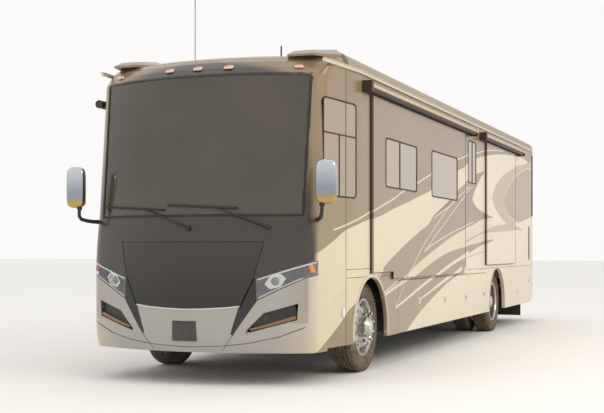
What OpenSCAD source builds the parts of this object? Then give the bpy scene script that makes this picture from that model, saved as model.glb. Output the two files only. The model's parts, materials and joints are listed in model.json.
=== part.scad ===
// Class A motorhome on a rear-engined chassis, with two slide-out rooms.
// The nose points to -Y, the driver's side is +X, the wheels stand on Z = 0.
// Inside the modules Y counts from the nose; place() moves it to mid-length.

/* [Body] */
// Length over the bumpers
body_len = 11400; // [11200:50:12000]
// Width over the side walls
body_w = 2565; // [2500:5:2620]
// Height of the skirt's lower edge
skirt_z = 338; // [310:1:370]
// Height of the seam between the skirts and the upper walls
belt_z = 1000; // [990:1:1015]
// Height of the side walls' upper edge
wall_top_z = 3095; // [3020:5:3200]
// Thickness of the upper walls
wall_t = 50; // [30:1:60]
// Thickness of the skirts and bay doors
skirt_t = 40; // [25:1:50]
// Gap around doors, hatches and slide-outs
panel_gap = 7; // [6:0.5:10]
// Thickness of the window glass
glass_t = 6; // [4:1:10]

/* [Nose] */
// Distance from the nose to the seam behind the front cap
cap_seam = 1030; // [1000:5:1060]
// Distance from the nose at which the cap reaches full width
taper_end = 1300; // [1250:10:1350]
// Inward taper of the cap's sides in degrees
taper_deg = 6; // [4:0.5:6.5]
// Setback of the bowed front one metre from its centre
bow = 224; // [180:2:240]
// Half width of the bowed part of the front
bow_half = 1060; // [1040:5:1070]
// Thickness of the front cap's shell
cap_t = 45; // [30:1:55]

/* [Windscreen] */
// Height of the lower edge of the windscreen
screen_z0 = 1606; // [1580:2:1640]
// Height of the upper edge of the windscreen
screen_z1 = 2946; // [2900:2:2960]
// Half width of the windscreen at its lower edge
screen_x0 = 1070; // [1040:5:1080]
// Half width of the windscreen at its upper edge
screen_x1 = 1093; // [1060:1:1100]
// Rearward lean of the windscreen in degrees
screen_rake = 6.4; // [4:0.2:8]

/* [Hood] */
// Height of the hood's upper edge
hood_z1 = 1348; // [1320:2:1380]
// Half width of the hood at its upper edge
hood_x1 = 751; // [700:1:760]
// Thickness of the hood's stiffened middle
hood_t = 30; // [20:1:35]
// Thickness of the hood's outer skin
hood_skin = 10; // [6:1:12]
// Gap around the hood
hood_gap = 10; // [9:0.5:14]
// Height of the hood's hinge axis above its upper edge
hood_hinge_up = 80; // [70:1:90]

/* [Roof] */
// Rise of the roof deck above the side walls
roof_rise = 120; // [100:2:140]
// Rise of the raised roof shoulders above the side walls
shoulder_rise = 165; // [150:2:180]
// Radius of the roof's side edges
roof_edge_r = 140; // [120:2:145]
// Height of the low roof units above the deck
roof_unit_h = 265; // [200:5:300]
// Height of the whip antenna above the deck
whip_h = 780; // [600:10:900]

/* [Floor] */
// Height of the cabin floor's upper face
floor_z = 1040; // [1035:1:1045]
// Thickness of the cabin floor
floor_t = 40; // [30:1:45]

/* [Wheels] */
// Distance from the nose to the front axle
front_axle_s = 1785; // [1770:5:1800]
// Distance between the axles
wheelbase = 6355; // [6300:5:6450]
// Outer radius of the tires
tire_r = 467; // [455:1:475]
// Width of one tire
tire_w = 255; // [235:1:265]
// Distance from the centre plane to the outer face of the front tires
track_out = 1200; // [1190:1:1215]
// Radius of the rims at the tire's bead
rim_r = 286; // [280:1:292]
// Clear width between the two tires of a rear pair
dual_gap = 65; // [50:1:75]
// Radius of the wheel arches
arch_r = 545; // [530:1:560]
// Radius of the steering pivot pins
kingpin_r = 25; // [20:1:30]
// Radius of the front wheel spindles
spindle_r = 38; // [32:1:45]
// Radius of the rear axle's ends
axle_end_r = 60; // [50:1:70]
// Radial running clearance of pins, spindles and axles
run_clear = 0.3; // [0.3:0.05:0.5]

/* [Slide-outs] */
// Distance from the nose to the front edge of the main slide-out
main_s0 = 1737; // [1700:1:1760]
// Length of the main slide-out's face
main_len = 4159; // [4000:1:4200]
// Distance from the nose to the front edge of the bedroom slide-out
bed_s0 = 7273; // [7250:1:7300]
// Length of the bedroom slide-out's face
bed_len = 2238; // [2100:1:2300]
// Height of the upper edge of both faces
slide_top_z = 2890; // [2850:1:2900]
// Height of the lower edge of the stepped face
slide_low_z = 955; // [950:1:960]
// Height of the lower edge ahead of the step
slide_mid_z = 1035; // [1030:1:1045]
// Height of the lower edge of the bedroom slide-out's face
slide_bed_z = 1050; // [1045:1:1060]
// Distance from the nose to the step
slide_step_s = 2468; // [2440:1:2500]
// Thickness of the faces outside the wall
face_t = 18; // [12:1:22]
// Depth of the main slide-out's box inside the wall
main_depth = 800; // [790:5:850]
// Depth of the bedroom slide-out's box inside the wall
bed_depth = 650; // [640:5:700]
// Thickness of the slide-outs' walls
slide_t = 40; // [25:1:45]

/* [Doors] */
// Distance from the nose to the entry door's front edge
door_s0 = 560; // [550:1:575]
// Length of the entry door
door_len = 590; // [560:1:600]
// Height of the entry door's upper edge
door_z1 = 2560; // [2500:1:2600]
// Height of the bay doors' upper edge
bay_z1 = 932; // [900:1:940]
// Depth of the storage bays from the side
bay_depth = 740; // [600:5:760]

/* [Rear] */
// Length of the rear cap
rear_cap_len = 235; // [200:1:260]
// Radius of the rear cap's corners
rear_r = 120; // [90:1:150]
// Half width of the engine hatch
hatch_x = 800; // [700:5:820]
// Height of the engine hatch's lower edge
hatch_z0 = 640; // [620:5:660]
// Height of the engine hatch's upper edge
hatch_z1 = 1560; // [1450:5:1600]
// Thickness of the engine hatch
hatch_t = 35; // [25:1:40]
// Width of the lip behind the engine hatch
hatch_lip = 25; // [15:1:40]
// Height of the rear bumper's lower edge
tail_z0 = 400; // [380:5:420]
// Height of the rear bumper's upper edge
tail_z1 = 600; // [560:5:610]
// Inside width of the hitch receiver
hitch_in = 51; // [50.8:0.1:51.5]
// Outside width of the hitch receiver
hitch_out = 63.5; // [63:0.5:66]
// Radius of the hitch pin's hole
hitch_pin_r = 8; // [7.9:0.1:8.2]

/* [Hidden] */
$fn = 64;
half_w = body_w / 2;
taper = tan(taper_deg);
bow_k = bow / 1000000;
bow_n = 8;
corner_n = 8;
path_n = bow_n + corner_n + 1;
screen_set = 72;
screen_slope = tan(screen_rake);
chin_z = 560;
bumper_z = skirt_z - 26;
bumper_end = 620;
lamp_end = 430;
hood_lip_z = 1011;
seat_gap = 0.3;
door_lip = 20;
door_z0 = skirt_z + panel_gap;
door_t = cap_t - 10;
deck_z = wall_top_z + roof_rise;
shoulder_z = wall_top_z + shoulder_rise;
rear_axle_s = front_axle_s + wheelbase;
body_end = body_len - 15;
rear_seam = body_end - rear_cap_len;
front_arch_s = front_axle_s - 20;
arch_z = 449;
rear_arch_r = arch_r + 20;
face_gap = panel_gap - 1;
face_x0 = half_w + face_gap;
face_x1 = face_x0 + face_t;
slide_floor_z = floor_z + panel_gap;
slide_hole_z1 = slide_top_z - 40;
bay_edges_left = [2717, 3760, 5022, 6170, 7330];
bay_edges_right = [2717, 4870, 7330];
bay_floor_z = skirt_z + 12;
bay_sheet = 12;
frame_x = 430;
frame_z0 = 600;
frame_z1 = 800;
axle_tube_r = 105;
hitch_notch_x = 150;
nut = 0.01;
slice_h = 2;

module place() {
    translate([0, -body_len / 2, 0]) children();
}

module both() {
    children();
    mirror([1, 0, 0]) children();
}

// Setback of the front's centre line at height z
function nose_s(z) =
    z > screen_z1 ? lookup(z - screen_z1, [[0, screen_set + screen_slope * (screen_z1 - screen_z0)],
        [64, 285], [134, 365], [184, 450], [219, 560]])
    : z > screen_z0 ? screen_set + screen_slope * (z - screen_z0)
    : z > 1011 ? screen_set * pow((z - 1011) / (screen_z0 - 1011), 2)
    : z > chin_z ? 0
    : 60 * pow((chin_z - z) / (chin_z - bumper_z), 2);

// Inset of the side at height z, where the roof's edge rounds over
function edge_in(z) = z <= wall_top_z ? 0
    : roof_edge_r - sqrt(max(0, pow(roof_edge_r, 2) - pow(z - wall_top_z, 2)));

function side_x(s, e = 0) = half_w - e - max(0, taper_end - s) * taper;

function inward(p, t, d) = p + d * [-t[1], t[0]] / norm(t);

// Point i of the front's outline at height z, d inside its outer face
function front_pt(i, z, d) =
    let (e = edge_in(z), b = bow_half - e, sb = nose_s(z) + bow_k * b * b,
        ta = [1, 2 * bow_k * b], u = ta / norm(ta),
        c = (half_w - e - (taper_end - sb) * taper - b) / (u[0] - taper * u[1]),
        p0 = [b, sb], p1 = p0 + c * u, v = [taper, 1] / norm([taper, 1]),
        p2 = p1 + 0.65 * c * v, a = abs(i), t = (a - bow_n) / corner_n)
    a <= bow_n ? let (x = b * a / bow_n) inward([x, nose_s(z) + bow_k * x * x], [1, 2 * bow_k * x], d)
    : a <= bow_n + corner_n
        ? inward(pow(1 - t, 2) * p0 + 2 * t * (1 - t) * p1 + t * t * p2,
            (1 - t) * (p1 - p0) + t * (p2 - p1), d)
    : [side_x(cap_seam, e) - d, cap_seam];

function front_ring(z, d) = [for (i = [-path_n:path_n])
    let (p = front_pt(i, z, d)) [i < 0 ? -p[0] : p[0], p[1]]];

module front_slice(z, d) {
    linear_extrude(slice_h) polygon(front_ring(z, d));
}

// Solid nose, d inside the outer face, from the nose back to the cap's seam
module nose(heights, d = 0) {
    for (j = [0:len(heights) - 2]) hull() {
        translate([0, 0, heights[j]]) front_slice(heights[j], d);
        translate([0, 0, heights[j + 1] - slice_h]) front_slice(heights[j + 1], d);
    }
}

low_rows = [bumper_z, bumper_z + 60, bumper_z + 140, chin_z, 1011, 1150, 1280, 1440, screen_z0, screen_z1];
brow_rows = [screen_z1, screen_z1 + 64, screen_z1 + 134, wall_top_z + 35, wall_top_z + 70];

// The nose's wall between d0 and d1 inside its outer face
module shell(d0, d1, z0 = bumper_z, z1 = screen_z1) {
    rows = [for (z = low_rows) if (z > z0 + 1 && z < z1 - 1) z];
    difference() {
        nose(concat([z0], rows, [z1]), d0);
        nose(concat([z0 - 1], rows, [z1 + 1]), d1);
    }
}

// Prism with a front-view outline, from the nose to depth y
module front_cut(y = 700) {
    translate([0, y, 0]) rotate([90, 0, 0]) linear_extrude(y + 200) children();
}

// Prism with a side-view outline (y, z), from x0 to x1
module side_cut(x0, x1) {
    translate([x0, 0, 0]) rotate([90, 0, 90]) linear_extrude(x1 - x0) children();
}

module round_rect(x0, x1, z0, z1, r) {
    translate([x0 + r, z0]) square([x1 - x0 - 2 * r, z1 - z0]);
    translate([x0, z0 + r]) square([x1 - x0, z1 - z0 - 2 * r]);
    for (x = [x0 + r, x1 - r], z = [z0 + r, z1 - r]) translate([x, z]) circle(r);
}

module pair2() {
    children();
    mirror([1, 0]) children();
}

screen_outline = [[-screen_x0, screen_z0], [screen_x0, screen_z0], [screen_x1, screen_z1], [-screen_x1, screen_z1]];
hood_side = [[hood_x1, hood_z1], [667, 1011], [546, 757]];

// Hood outline; g grows it on every side
module hood_outline(g = 0) {
    polygon([[-hood_x1 - g, hood_z1 + g], [-667 - g, 1011], [-546 - g, 757 - g], [-300, 735 - g], [0, 728 - g],
        [300, 735 - g], [546 + g, 757 - g], [667 + g, 1011], [hood_x1 + g, hood_z1 + g]]);
}

// Lamp recess between the hood and the corner
module lamp_outline() {
    polygon([[688, 1011], [1400, 1244], [1400, 1035], [1190, 1035], [1120, 1010], [900, 905], [700, 800]]);
}

// Slanted blade, reaching under the hood and into the lamp recess
module blade_outline() {
    polygon([[650, 1000], [692, 1008], [731, 844], [480, 480], [455, 490], [540, 757]]);
}

// Bumper, reaching up into the openings above it
module bumper_outline() {
    polygon([[-1400, bumper_z - 10], [1400, bumper_z - 10], [1400, 1045], [1120, 1045], [900, 950], [720, 830],
        [640, 790], [-640, 790], [-720, 830], [-900, 950], [-1120, 1045], [-1400, 1045]]);
}

driver_window = [540, 1265, 1800, 2730];
coach_windows_left = [[6156, 6635, 2233, 2819]];
coach_windows_right = [[1240, 1640, 1820, 2420], [2900, 4300, 1900, 2600], [5000, 6200, 1900, 2600],
    [8100, 8900, 2050, 2650]];
main_windows = [[2184, 3405, 1965, 2485], [4092, 5405, 1945, 2505]];

// Plate along the side between two stations, following the cap's taper
module side_plate(s0, s1, z0, z1, d0, d1) {
    stations = concat([s0], (s0 < taper_end && s1 > taper_end) ? [taper_end] : [], [s1]);
    n = len(stations);
    translate([0, 0, z0]) linear_extrude(z1 - z0) polygon(concat(
        [for (s = stations) [side_x(s) - d0, s]],
        [for (i = [n - 1:-1:0]) [side_x(stations[i]) - d1, stations[i]]]));
}

module window_holes(list, g = 0) {
    for (w = list) side_cut(700, half_w + 100) round_rect(w[0] - g, w[1] + g, w[2] - g, w[3] + g, 45);
}

module bonded_glass(list) {
    for (w = list) intersection() {
        side_plate(w[0], w[1], w[2], w[3], 2, 2 + glass_t);
        side_cut(700, half_w + 100) round_rect(w[0], w[1], w[2], w[3], 45);
    }
}

// ---- Running gear ----

module chassis_frame() {
    rail_len = 10450;
    seat_z = tire_r + axle_tube_r + seat_gap;
    post_z = frame_z1 + seat_gap;
    web_x = frame_x + 40 + seat_gap;
    color("dimgray") place() {
        both() translate([frame_x - 40, 700, frame_z0]) difference() {
            cube([80, rail_len, frame_z1 - frame_z0]);
            translate([-1, -1, 12]) cube([69, rail_len + 2, frame_z1 - frame_z0 - 24]);
        }
        for (s = [700, 2500, 3800, 5100, 6400, 7380, 9100, 10730])
            translate([-frame_x + 28, s, frame_z0 + 12 + seat_gap]) cube([2 * frame_x - 56, 80, 150]);
        both() {
            translate([frame_x - 40, front_axle_s - 45, beam_top])
                cube([80, 90, frame_z0 - beam_top - seat_gap]);
            translate([frame_x - 40, rear_axle_s - 45, seat_z]) cube([80, 90, frame_z0 - seat_z - seat_gap]);
            for (s = [2400, 7400, 9300]) translate([web_x, s, 700])
                cube([half_w - skirt_t - 2 - web_x, 50, frame_z1 - 700]);
            for (s = [1300, 3400, 5300, 7000, 9400]) translate([frame_x - 30, s, post_z])
                cube([60, 120, floor_z - floor_t - post_z]);
        }
    }
}

kingpin_x = 885;
kingpin_h = 194;
beam_top = tire_r + 23;

module front_axle() {
    color("dimgray") place() translate([0, front_axle_s, 0]) {
        translate([-(kingpin_x - 70), -45, beam_top - 113]) cube([2 * (kingpin_x - 70), 90, 113]);
        both() {
            translate([kingpin_x - 80, -45, tire_r - 40]) cube([80, 90, 80]);
            translate([kingpin_x, 0, tire_r - 40]) cylinder(r = 45, h = 80);
            translate([kingpin_x, 0, tire_r]) cylinder(r = kingpin_r, h = kingpin_h, center = true);
        }
    }
}

module knuckle() {
    bore_r = kingpin_r + run_clear;
    translate([0, front_axle_s, 0]) {
        difference() {
            union() {
                for (z = [tire_r - 96, tire_r + 46]) {
                    translate([kingpin_x, 0, z]) cylinder(r = 44, h = 50);
                    translate([kingpin_x, -44, z]) cube([95, 88, 50]);
                }
                translate([kingpin_x + 55, -44, tire_r - 96]) cube([40, 88, 192]);
            }
            translate([kingpin_x, 0, 0]) cylinder(r = bore_r, h = 900);
        }
        translate([kingpin_x + 90, 0, tire_r]) rotate([0, 90, 0]) cylinder(r = 70, h = 20);
        translate([kingpin_x + 90, 0, tire_r]) rotate([0, 90, 0]) cylinder(r = spindle_r, h = 200);
    }
}

module knuckle_left() {
    color("gray") place() knuckle();
}

module knuckle_right() {
    color("gray") place() mirror([1, 0, 0]) knuckle();
}

module rear_axle() {
    span = 2 * (rear_out - 100);
    color("dimgray") place() translate([0, rear_axle_s, tire_r]) {
        rotate([0, 90, 0]) rotate_extrude() polygon(concat(
            [[0, -span / 2], [axle_end_r, -span / 2], [axle_end_r, -530], [axle_tube_r, -510]],
            [for (a = [-60:12:60]) 2 * axle_tube_r * [cos(a), sin(a)]],
            [[axle_tube_r, 510], [axle_end_r, 530], [axle_end_r, span / 2], [0, span / 2]]));
    }
}

module engine_block() {
    color("slategray") place() translate([-frame_x + 40, 9580, 560]) cube([2 * frame_x - 80, 1130, 760]);
}

// Tire with outer face at x = 0, spinning about X
module tire(w) {
    side = [[rim_r + run_clear, 0], [rim_r + run_clear, -24], [rim_r + 16, -24], [rim_r + 40, -6], [360, 0],
        [410, -6], [tire_r - 14, -22], [tire_r, -42]];
    rotate([0, 90, 0]) rotate_extrude($fn = 96) polygon(concat(
        [for (i = [1:7]) side[i]],
        [for (i = [7:-1:1]) [side[i][0], -w - side[i][1]]]));
}

// Half section of a rim's barrel, from its outer flange inwards
function barrel(w) = [[rim_r, -22], [rim_r + 14, -22], [rim_r + 14, -14], [rim_r - 4, -12], [rim_r - 18, -34],
    [rim_r - 22, 34 - w], [rim_r - 4, 12 - w], [rim_r + 14, 14 - w], [rim_r + 14, 22 - w], [rim_r, 22 - w]];

// Disc wheel; disc_x is the depth of its mounting face behind the outer rim edge
module rim(w, disc_x, hub_out, bore) {
    rotate([0, 90, 0]) difference() {
        union() {
            rotate_extrude($fn = 96) polygon(barrel(w));
            rotate_extrude($fn = 96) polygon([[0, -disc_x - 18], [190, -disc_x - 18], [rim_r - 16, -disc_x - 58],
                [rim_r - 16, -disc_x - 36], [200, -disc_x], [0, -disc_x]]);
            translate([0, 0, -disc_x - 80]) cylinder(r = 105, h = 48 + hub_out);
            translate([0, 0, -disc_x - 32 + hub_out]) cylinder(r1 = 105, r2 = 78, h = 32);
        }
        translate([0, 0, -w - 1]) cylinder(r = bore, h = w + 1 - disc_x + hub_out - 45);
        for (a = [0:36:324]) rotate(a) translate([229, 0, -w]) cylinder(r = 22, h = w);
    }
}

front_rim_in = 30;
hub_bore = spindle_r + run_clear;

module at_front_wheel() {
    place() translate([track_out, front_axle_s, tire_r]) children();
}

module front_tire_left() {
    color("#3a352f") at_front_wheel() tire(tire_w);
}

module front_rim_left() {
    color("silver") at_front_wheel() rim(tire_w, front_rim_in, 96, hub_bore);
}

module front_tire_right() {
    mirror([1, 0, 0]) front_tire_left();
}

module front_rim_right() {
    mirror([1, 0, 0]) front_rim_left();
}

dual_pitch = tire_w + dual_gap;
rear_out = track_out + 20;

module at_rear_wheel() {
    place() translate([rear_out, rear_axle_s, tire_r]) children();
}

module rear_tires_left() {
    color("#3a352f") at_rear_wheel() {
        tire(tire_w);
        translate([-dual_pitch, 0, 0]) tire(tire_w);
    }
}

module rear_rims_left() {
    bore = axle_end_r + run_clear;
    color("silver") at_rear_wheel() {
        rim(tire_w, 170, 140, bore);
        translate([-dual_pitch, 0, 0]) rotate([0, 90, 0]) difference() {
            union() {
                rotate_extrude($fn = 96) polygon(barrel(tire_w));
                translate([0, 0, -34]) cylinder(r = rim_r - 16, h = 16);
                translate([0, 0, -60]) cylinder(r = 105, h = 140);
            }
            translate([0, 0, -tire_w]) cylinder(r = bore, h = 2 * tire_w);
        }
    }
}

module rear_tires_right() {
    mirror([1, 0, 0]) rear_tires_left();
}

module rear_rims_right() {
    mirror([1, 0, 0]) rear_rims_left();
}

// ---- Shell of the coach ----

module cabin_floor() {
    inner = half_w - wall_t;
    well_s1 = door_s0 + door_len;
    bed_end = bed_s0 + bed_len + 20;
    color("tan") place() difference() {
        union() {
            translate([-1080, 420, floor_z - floor_t]) cube([2160, 900, floor_t]);
            translate([-inner, taper_end, floor_z - floor_t]) cube([2 * inner, rear_seam - taper_end, floor_t]);
            // stepwell inside the entry door
            translate([-1140, door_s0 - 20, 470]) cube([400, door_len + 40, floor_z - 470]);
            // raised platform over the engine
            translate([-inner, bed_end, floor_z]) cube([2 * inner, rear_seam - bed_end, 330]);
        }
        translate([-1141, door_s0, 490]) cube([200, door_len, floor_z]);
        translate([-1141, door_s0, 765]) cube([380, door_len, floor_z]);
        translate([-530, bed_end + 30, floor_z]) cube([1060, rear_seam, 300]);
        translate([-frame_x + 35, bed_end + 5, floor_z - floor_t - 1]) cube([2 * frame_x - 70, 1200, floor_t + 2]);
    }
}

// Doorway; g grows it at the front and the top
module doorway(g = 0) {
    translate([-1600, door_s0 - panel_gap - g, bumper_z - 10])
        cube([900, door_len + 2 * panel_gap + g, door_z1 + panel_gap + g - bumper_z + 10]);
}

// Opening for the hood, with a lip along its upper part for its skin to rest on
module hood_opening() {
    difference() {
        front_cut() hood_outline(hood_gap);
        nose([hood_lip_z, 1150, 1280, 1440], hood_skin + seat_gap);
    }
    front_cut() hood_outline(-20);
}

module front_cap() {
    color("#4b4640") place() {
        difference() {
            shell(0, cap_t);
            front_cut() polygon(screen_outline);
            hood_opening();
            front_cut(lamp_end) pair2() lamp_outline();
            front_cut() pair2() blade_outline();
            front_cut(bumper_end) bumper_outline();
            window_holes([driver_window]);
            translate([-1600, -200, bumper_z - 10]) cube([3200, 1300, skirt_z - bumper_z + 10]);
            difference() {
                doorway();
                nose(low_rows, door_t + seat_gap);
            }
            doorway(-door_lip);
        }
        brow();
    }
}

module shoulder_slice(s) {
    translate([0, s, 0]) rotate([90, 0, 0]) linear_extrude(1) polygon([
        [760, wall_top_z + 60], [half_w - 60, wall_top_z + 60], [half_w - 60, wall_top_z + 110],
        [half_w - 130, shoulder_z - 4], [half_w - 200, shoulder_z], [870, shoulder_z], [760, deck_z]]);
}

module brow() {
    nose(brow_rows);
    top = wall_top_z + 70;
    hull() {
        translate([-760, cap_seam - 1, top - 20]) cube([1520, 1, deck_z - top + 20]);
        translate([-700, 680, top - 21]) cube([1400, 1, 21]);
    }
    both() hull() {
        shoulder_slice(cap_seam);
        translate([820, 560, top - 30]) cube([270, 1, 20]);
        translate([860, 640, top + 10]) cube([190, 1, 25]);
    }
}

module windshield() {
    color("#6f695f", 0.6) place() intersection() {
        shell(3, 3 + glass_t + 4, 1500, screen_z1);
        front_cut() polygon(screen_outline);
    }
}

function slide_hole(s0, len) = [s0 + 50, s0 + len - 50];

module driver_side_wall() {
    main_hole = slide_hole(main_s0, main_len);
    bed_hole = slide_hole(bed_s0, bed_len);
    color("#a39a8b") place() difference() {
        side_plate(cap_seam, rear_seam, belt_z, wall_top_z, 0, wall_t);
        window_holes([driver_window]);
        window_holes(coach_windows_left);
        for (h = [main_hole, bed_hole])
            translate([half_w - 200, h[0], slide_floor_z - panel_gap])
                cube([400, h[1] - h[0], slide_hole_z1 - slide_floor_z + panel_gap]);
    }
}

module passenger_side_wall() {
    color("#a39a8b") place() mirror([1, 0, 0]) difference() {
        side_plate(cap_seam, rear_seam, belt_z, wall_top_z, 0, wall_t);
        window_holes(coach_windows_right);
        mirror([1, 0, 0]) doorway();
    }
}

roof_side = concat(
    [[half_w, wall_top_z]],
    [for (a = [10:10:70]) [half_w - roof_edge_r + roof_edge_r * cos(a), wall_top_z + roof_edge_r * sin(a)]],
    [[half_w - roof_edge_r - 20, shoulder_z - 4], [half_w - 200, shoulder_z], [870, shoulder_z],
    [760, deck_z]]);
roof_n = len(roof_side);

module roof_outline(z0) {
    polygon(concat([[half_w, z0]], roof_side, [[0, deck_z]],
        [for (i = [roof_n - 1:-1:0]) [-roof_side[i][0], roof_side[i][1]]], [[-half_w, z0]]));
}

module roof() {
    color("#cfc6b6") place() translate([0, rear_seam, 0]) rotate([90, 0, 0])
        linear_extrude(rear_seam - cap_seam) roof_outline(wall_top_z);
}

module rear_plan(d) {
    r = rear_r - min(d, rear_r - 20);
    polygon(concat(
        [[-half_w + d, rear_seam], [half_w - d, rear_seam]],
        [for (a = [0:9:90]) [half_w - d - r + r * cos(a), body_end - d - r + r * sin(a)]],
        [for (a = [90:9:180]) [-half_w + d + r + r * cos(a), body_end - d - r + r * sin(a)]]));
}

module rear_cap() {
    color("#a39a8b") place() difference() {
        intersection() {
            translate([0, 0, tail_z1]) linear_extrude(shoulder_z - tail_z1) rear_plan(0);
            translate([0, body_len, 0]) rotate([90, 0, 0]) linear_extrude(1000) roof_outline(0);
        }
        translate([0, -nut, 0]) linear_extrude(wall_top_z - 10) rear_plan(wall_t);
        for (i = [0, 1]) let (g = i == 0 ? panel_gap : -hatch_lip, y = i == 0 ? body_end - hatch_t - seat_gap : rear_seam)
            translate([-hatch_x - g, y, hatch_z0 - g])
                cube([2 * (hatch_x + g), 400, hatch_z1 - hatch_z0 + 2 * g]);
    }
}

module engine_hatch() {
    color("#8d8475") place() translate([-hatch_x, body_end - hatch_t, hatch_z0])
        cube([2 * hatch_x, hatch_t, hatch_z1 - hatch_z0]);
}

module skirt(edges) {
    difference() {
        side_plate(cap_seam, rear_seam, skirt_z, belt_z, 0, skirt_t);
        translate([0, front_arch_s, arch_z]) rotate([0, 90, 0]) cylinder(r = arch_r, h = 2 * body_w);
        translate([half_w - 300, front_arch_s - arch_r, 0]) cube([400, 2 * arch_r, arch_z]);
        translate([0, rear_axle_s - 20, arch_z - 20]) rotate([0, 90, 0]) cylinder(r = rear_arch_r, h = 2 * body_w);
        translate([half_w - 300, rear_axle_s - 20 - rear_arch_r, 0]) cube([400, 2 * rear_arch_r, arch_z - 20]);
        translate([half_w - 300, edges[0] - panel_gap, skirt_z - 10])
            cube([400, edges[len(edges) - 1] - edges[0] + 2 * panel_gap, bay_z1 + panel_gap - skirt_z + 10]);
    }
}

module side_skirts() {
    color("#ded6c6") place() {
        skirt(bay_edges_left);
        difference() {
            mirror([1, 0, 0]) skirt(bay_edges_right);
            doorway();
        }
    }
}

module bay_box(edges) {
    x0 = half_w - bay_depth;
    depth = bay_depth - skirt_t - seat_gap;
    n = len(edges) - 1;
    t = bay_sheet;
    wall_z = bay_floor_z + t + seat_gap;
    translate([x0, edges[0], bay_floor_z]) cube([depth, edges[n] - edges[0], t]);
    translate([x0 - t - seat_gap, edges[0], bay_floor_z]) 
            cube([t, edges[n] - edges[0], bay_z1 + 22 - bay_floor_z]);
    for (i = [0:n]) translate([x0, i == 0 ? edges[0] : edges[i] - t, wall_z])
        cube([depth, t, floor_z - floor_t - wall_z]);
    for (i = [0:n - 1]) let (y = edges[i] + (i == 0 ? t : 0) + seat_gap)
        translate([x0, y, bay_z1 + 10]) cube([depth, edges[i + 1] - t - seat_gap - y, t]);
}

module storage_bays() {
    color("dimgray") place() {
        bay_box(bay_edges_left);
        mirror([1, 0, 0]) bay_box(bay_edges_right);
    }
}

module bay_door(edges, i) {
    g = panel_gap / 2;
    translate([half_w - skirt_t, edges[i] + g, skirt_z])
        cube([skirt_t, edges[i + 1] - edges[i] - 2 * g, bay_z1 - skirt_z]);
}

module bay_door_left_1() {
    color("#ded6c6") place() bay_door(bay_edges_left, 0);
}

module bay_door_left_2() {
    color("#ded6c6") place() bay_door(bay_edges_left, 1);
}

module bay_door_left_3() {
    color("#ded6c6") place() bay_door(bay_edges_left, 2);
}

module bay_door_left_4() {
    color("#ded6c6") place() bay_door(bay_edges_left, 3);
}

module bay_door_right_1() {
    color("#ded6c6") place() mirror([1, 0, 0]) bay_door(bay_edges_right, 0);
}

module bay_door_right_2() {
    color("#ded6c6") place() mirror([1, 0, 0]) bay_door(bay_edges_right, 1);
}

// ---- Front end ----

module hood() {
    color("#2e2823") place() {
        intersection() {
            shell(0, hood_skin, 600, 1500);
            front_cut() hood_outline();
        }
        intersection() {
            shell(hood_skin - 1, hood_t, 600, 1500);
            front_cut() hood_outline(-45);
        }
    }
}

module front_bumper() {
    color("#b5b1a9") place() difference() {
        intersection() {
            shell(0, cap_t, bumper_z, 1100);
            front_cut(bumper_end) difference() {
                bumper_outline();
                hood_outline(hood_gap);
                pair2() blade_outline();
                pair2() fog_outline();
            }
        }
        doorway();
        front_cut(lamp_end) pair2() lamp_outline();
    }
}

module fog_outline() {
    polygon([[600, 500], [1050, 625], [1060, 780], [760, 690], [600, 526]]);
}

module headlights() {
    color("#8d8f92") place() intersection() {
        shell(2, 42, 700, 1300);
        front_cut(lamp_end) pair2() lamp_outline();
    }
}

module grille_blades() {
    color("#2c2a29") place() intersection() {
        shell(2, 42, 400, 1100);
        front_cut() pair2() difference() {
            blade_outline();
            lamp_outline();
            hood_outline(hood_gap);
        }
    }
}

module small_lamps() {
    color("#c77b33") place() {
        intersection() {
            shell(12, 42, 400, 900);
            front_cut() pair2() fog_outline();
        }
        difference() {
            union() {
                for (x = [-972, -318, 0, 318, 972]) translate([x, 300 + bow_k * x * x, 3024])
                    cube([90, 60, 30], center = true);
                both() translate([side_x(990) - 10, 940, 630]) cube([22, 45, 70]);
            }
            nose(concat([bumper_z], [for (z = low_rows) if (z > chin_z) z], [for (z = brow_rows) if (z > screen_z1) z]));
        }
        both() translate([1040, body_end, 700]) cube([100, 12, 560]);
    }
}

module mirrors() {
    color("silver") place() both() {
        translate([1240, 195, 1700]) cube([200, 95, 410]);
        translate([1300, 225, 1590]) cylinder(r = 16, h = 115);
        difference() {
            hull() {
                translate([1300, 225, 1590]) sphere(r = 16, $fn = 24);
                translate([1185, 430, 1560]) sphere(r = 22, $fn = 24);
            }
            nose(low_rows);
        }
    }
}

// Front-view strip between two points, w wide
module strip(p, q, w) {
    v = (q - p) / norm(q - p);
    n = [-v[1], v[0]] * w / 2;
    polygon([p - n, q - n, q + n, p + n]);
}

wiper_pivots = [[30, 1479], [785, 1486]];
wiper_ends = [[[-1050, 1704], [-240, 1660]], [[-230, 1704], [505, 1668]]];

module wipers() {
    color("#1b1a19") place() {
        intersection() {
            shell(-22, 3 - 2 * seat_gap, 1630, 1760);
            front_cut() for (e = wiper_ends) strip(e[0], e[1], 18);
        }
        intersection() {
            shell(-40, -20, 1440, 1760);
            front_cut() for (i = [0, 1])
                strip(wiper_pivots[i], (wiper_ends[i][0] + 2 * wiper_ends[i][1]) / 3 + [0, 6], 20);
        }
        intersection() {
            shell(-34, 0, 1440, 1530);
            front_cut() for (p = wiper_pivots) translate(p) square(42, center = true);
        }
    }
}

// ---- Roof and sides ----

module roof_units() {
    color("#d8d3c8") place() for (s = [4200, 8000]) hull() {
        translate([-340, s - 380, deck_z]) cube([680, 900, 60]);
        translate([-300, s - 320, deck_z + roof_unit_h - 1]) cube([600, 740, 1]);
        translate([-320, s - 360, deck_z + roof_unit_h - 60]) cube([640, 840, 1]);
    }
}

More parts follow.
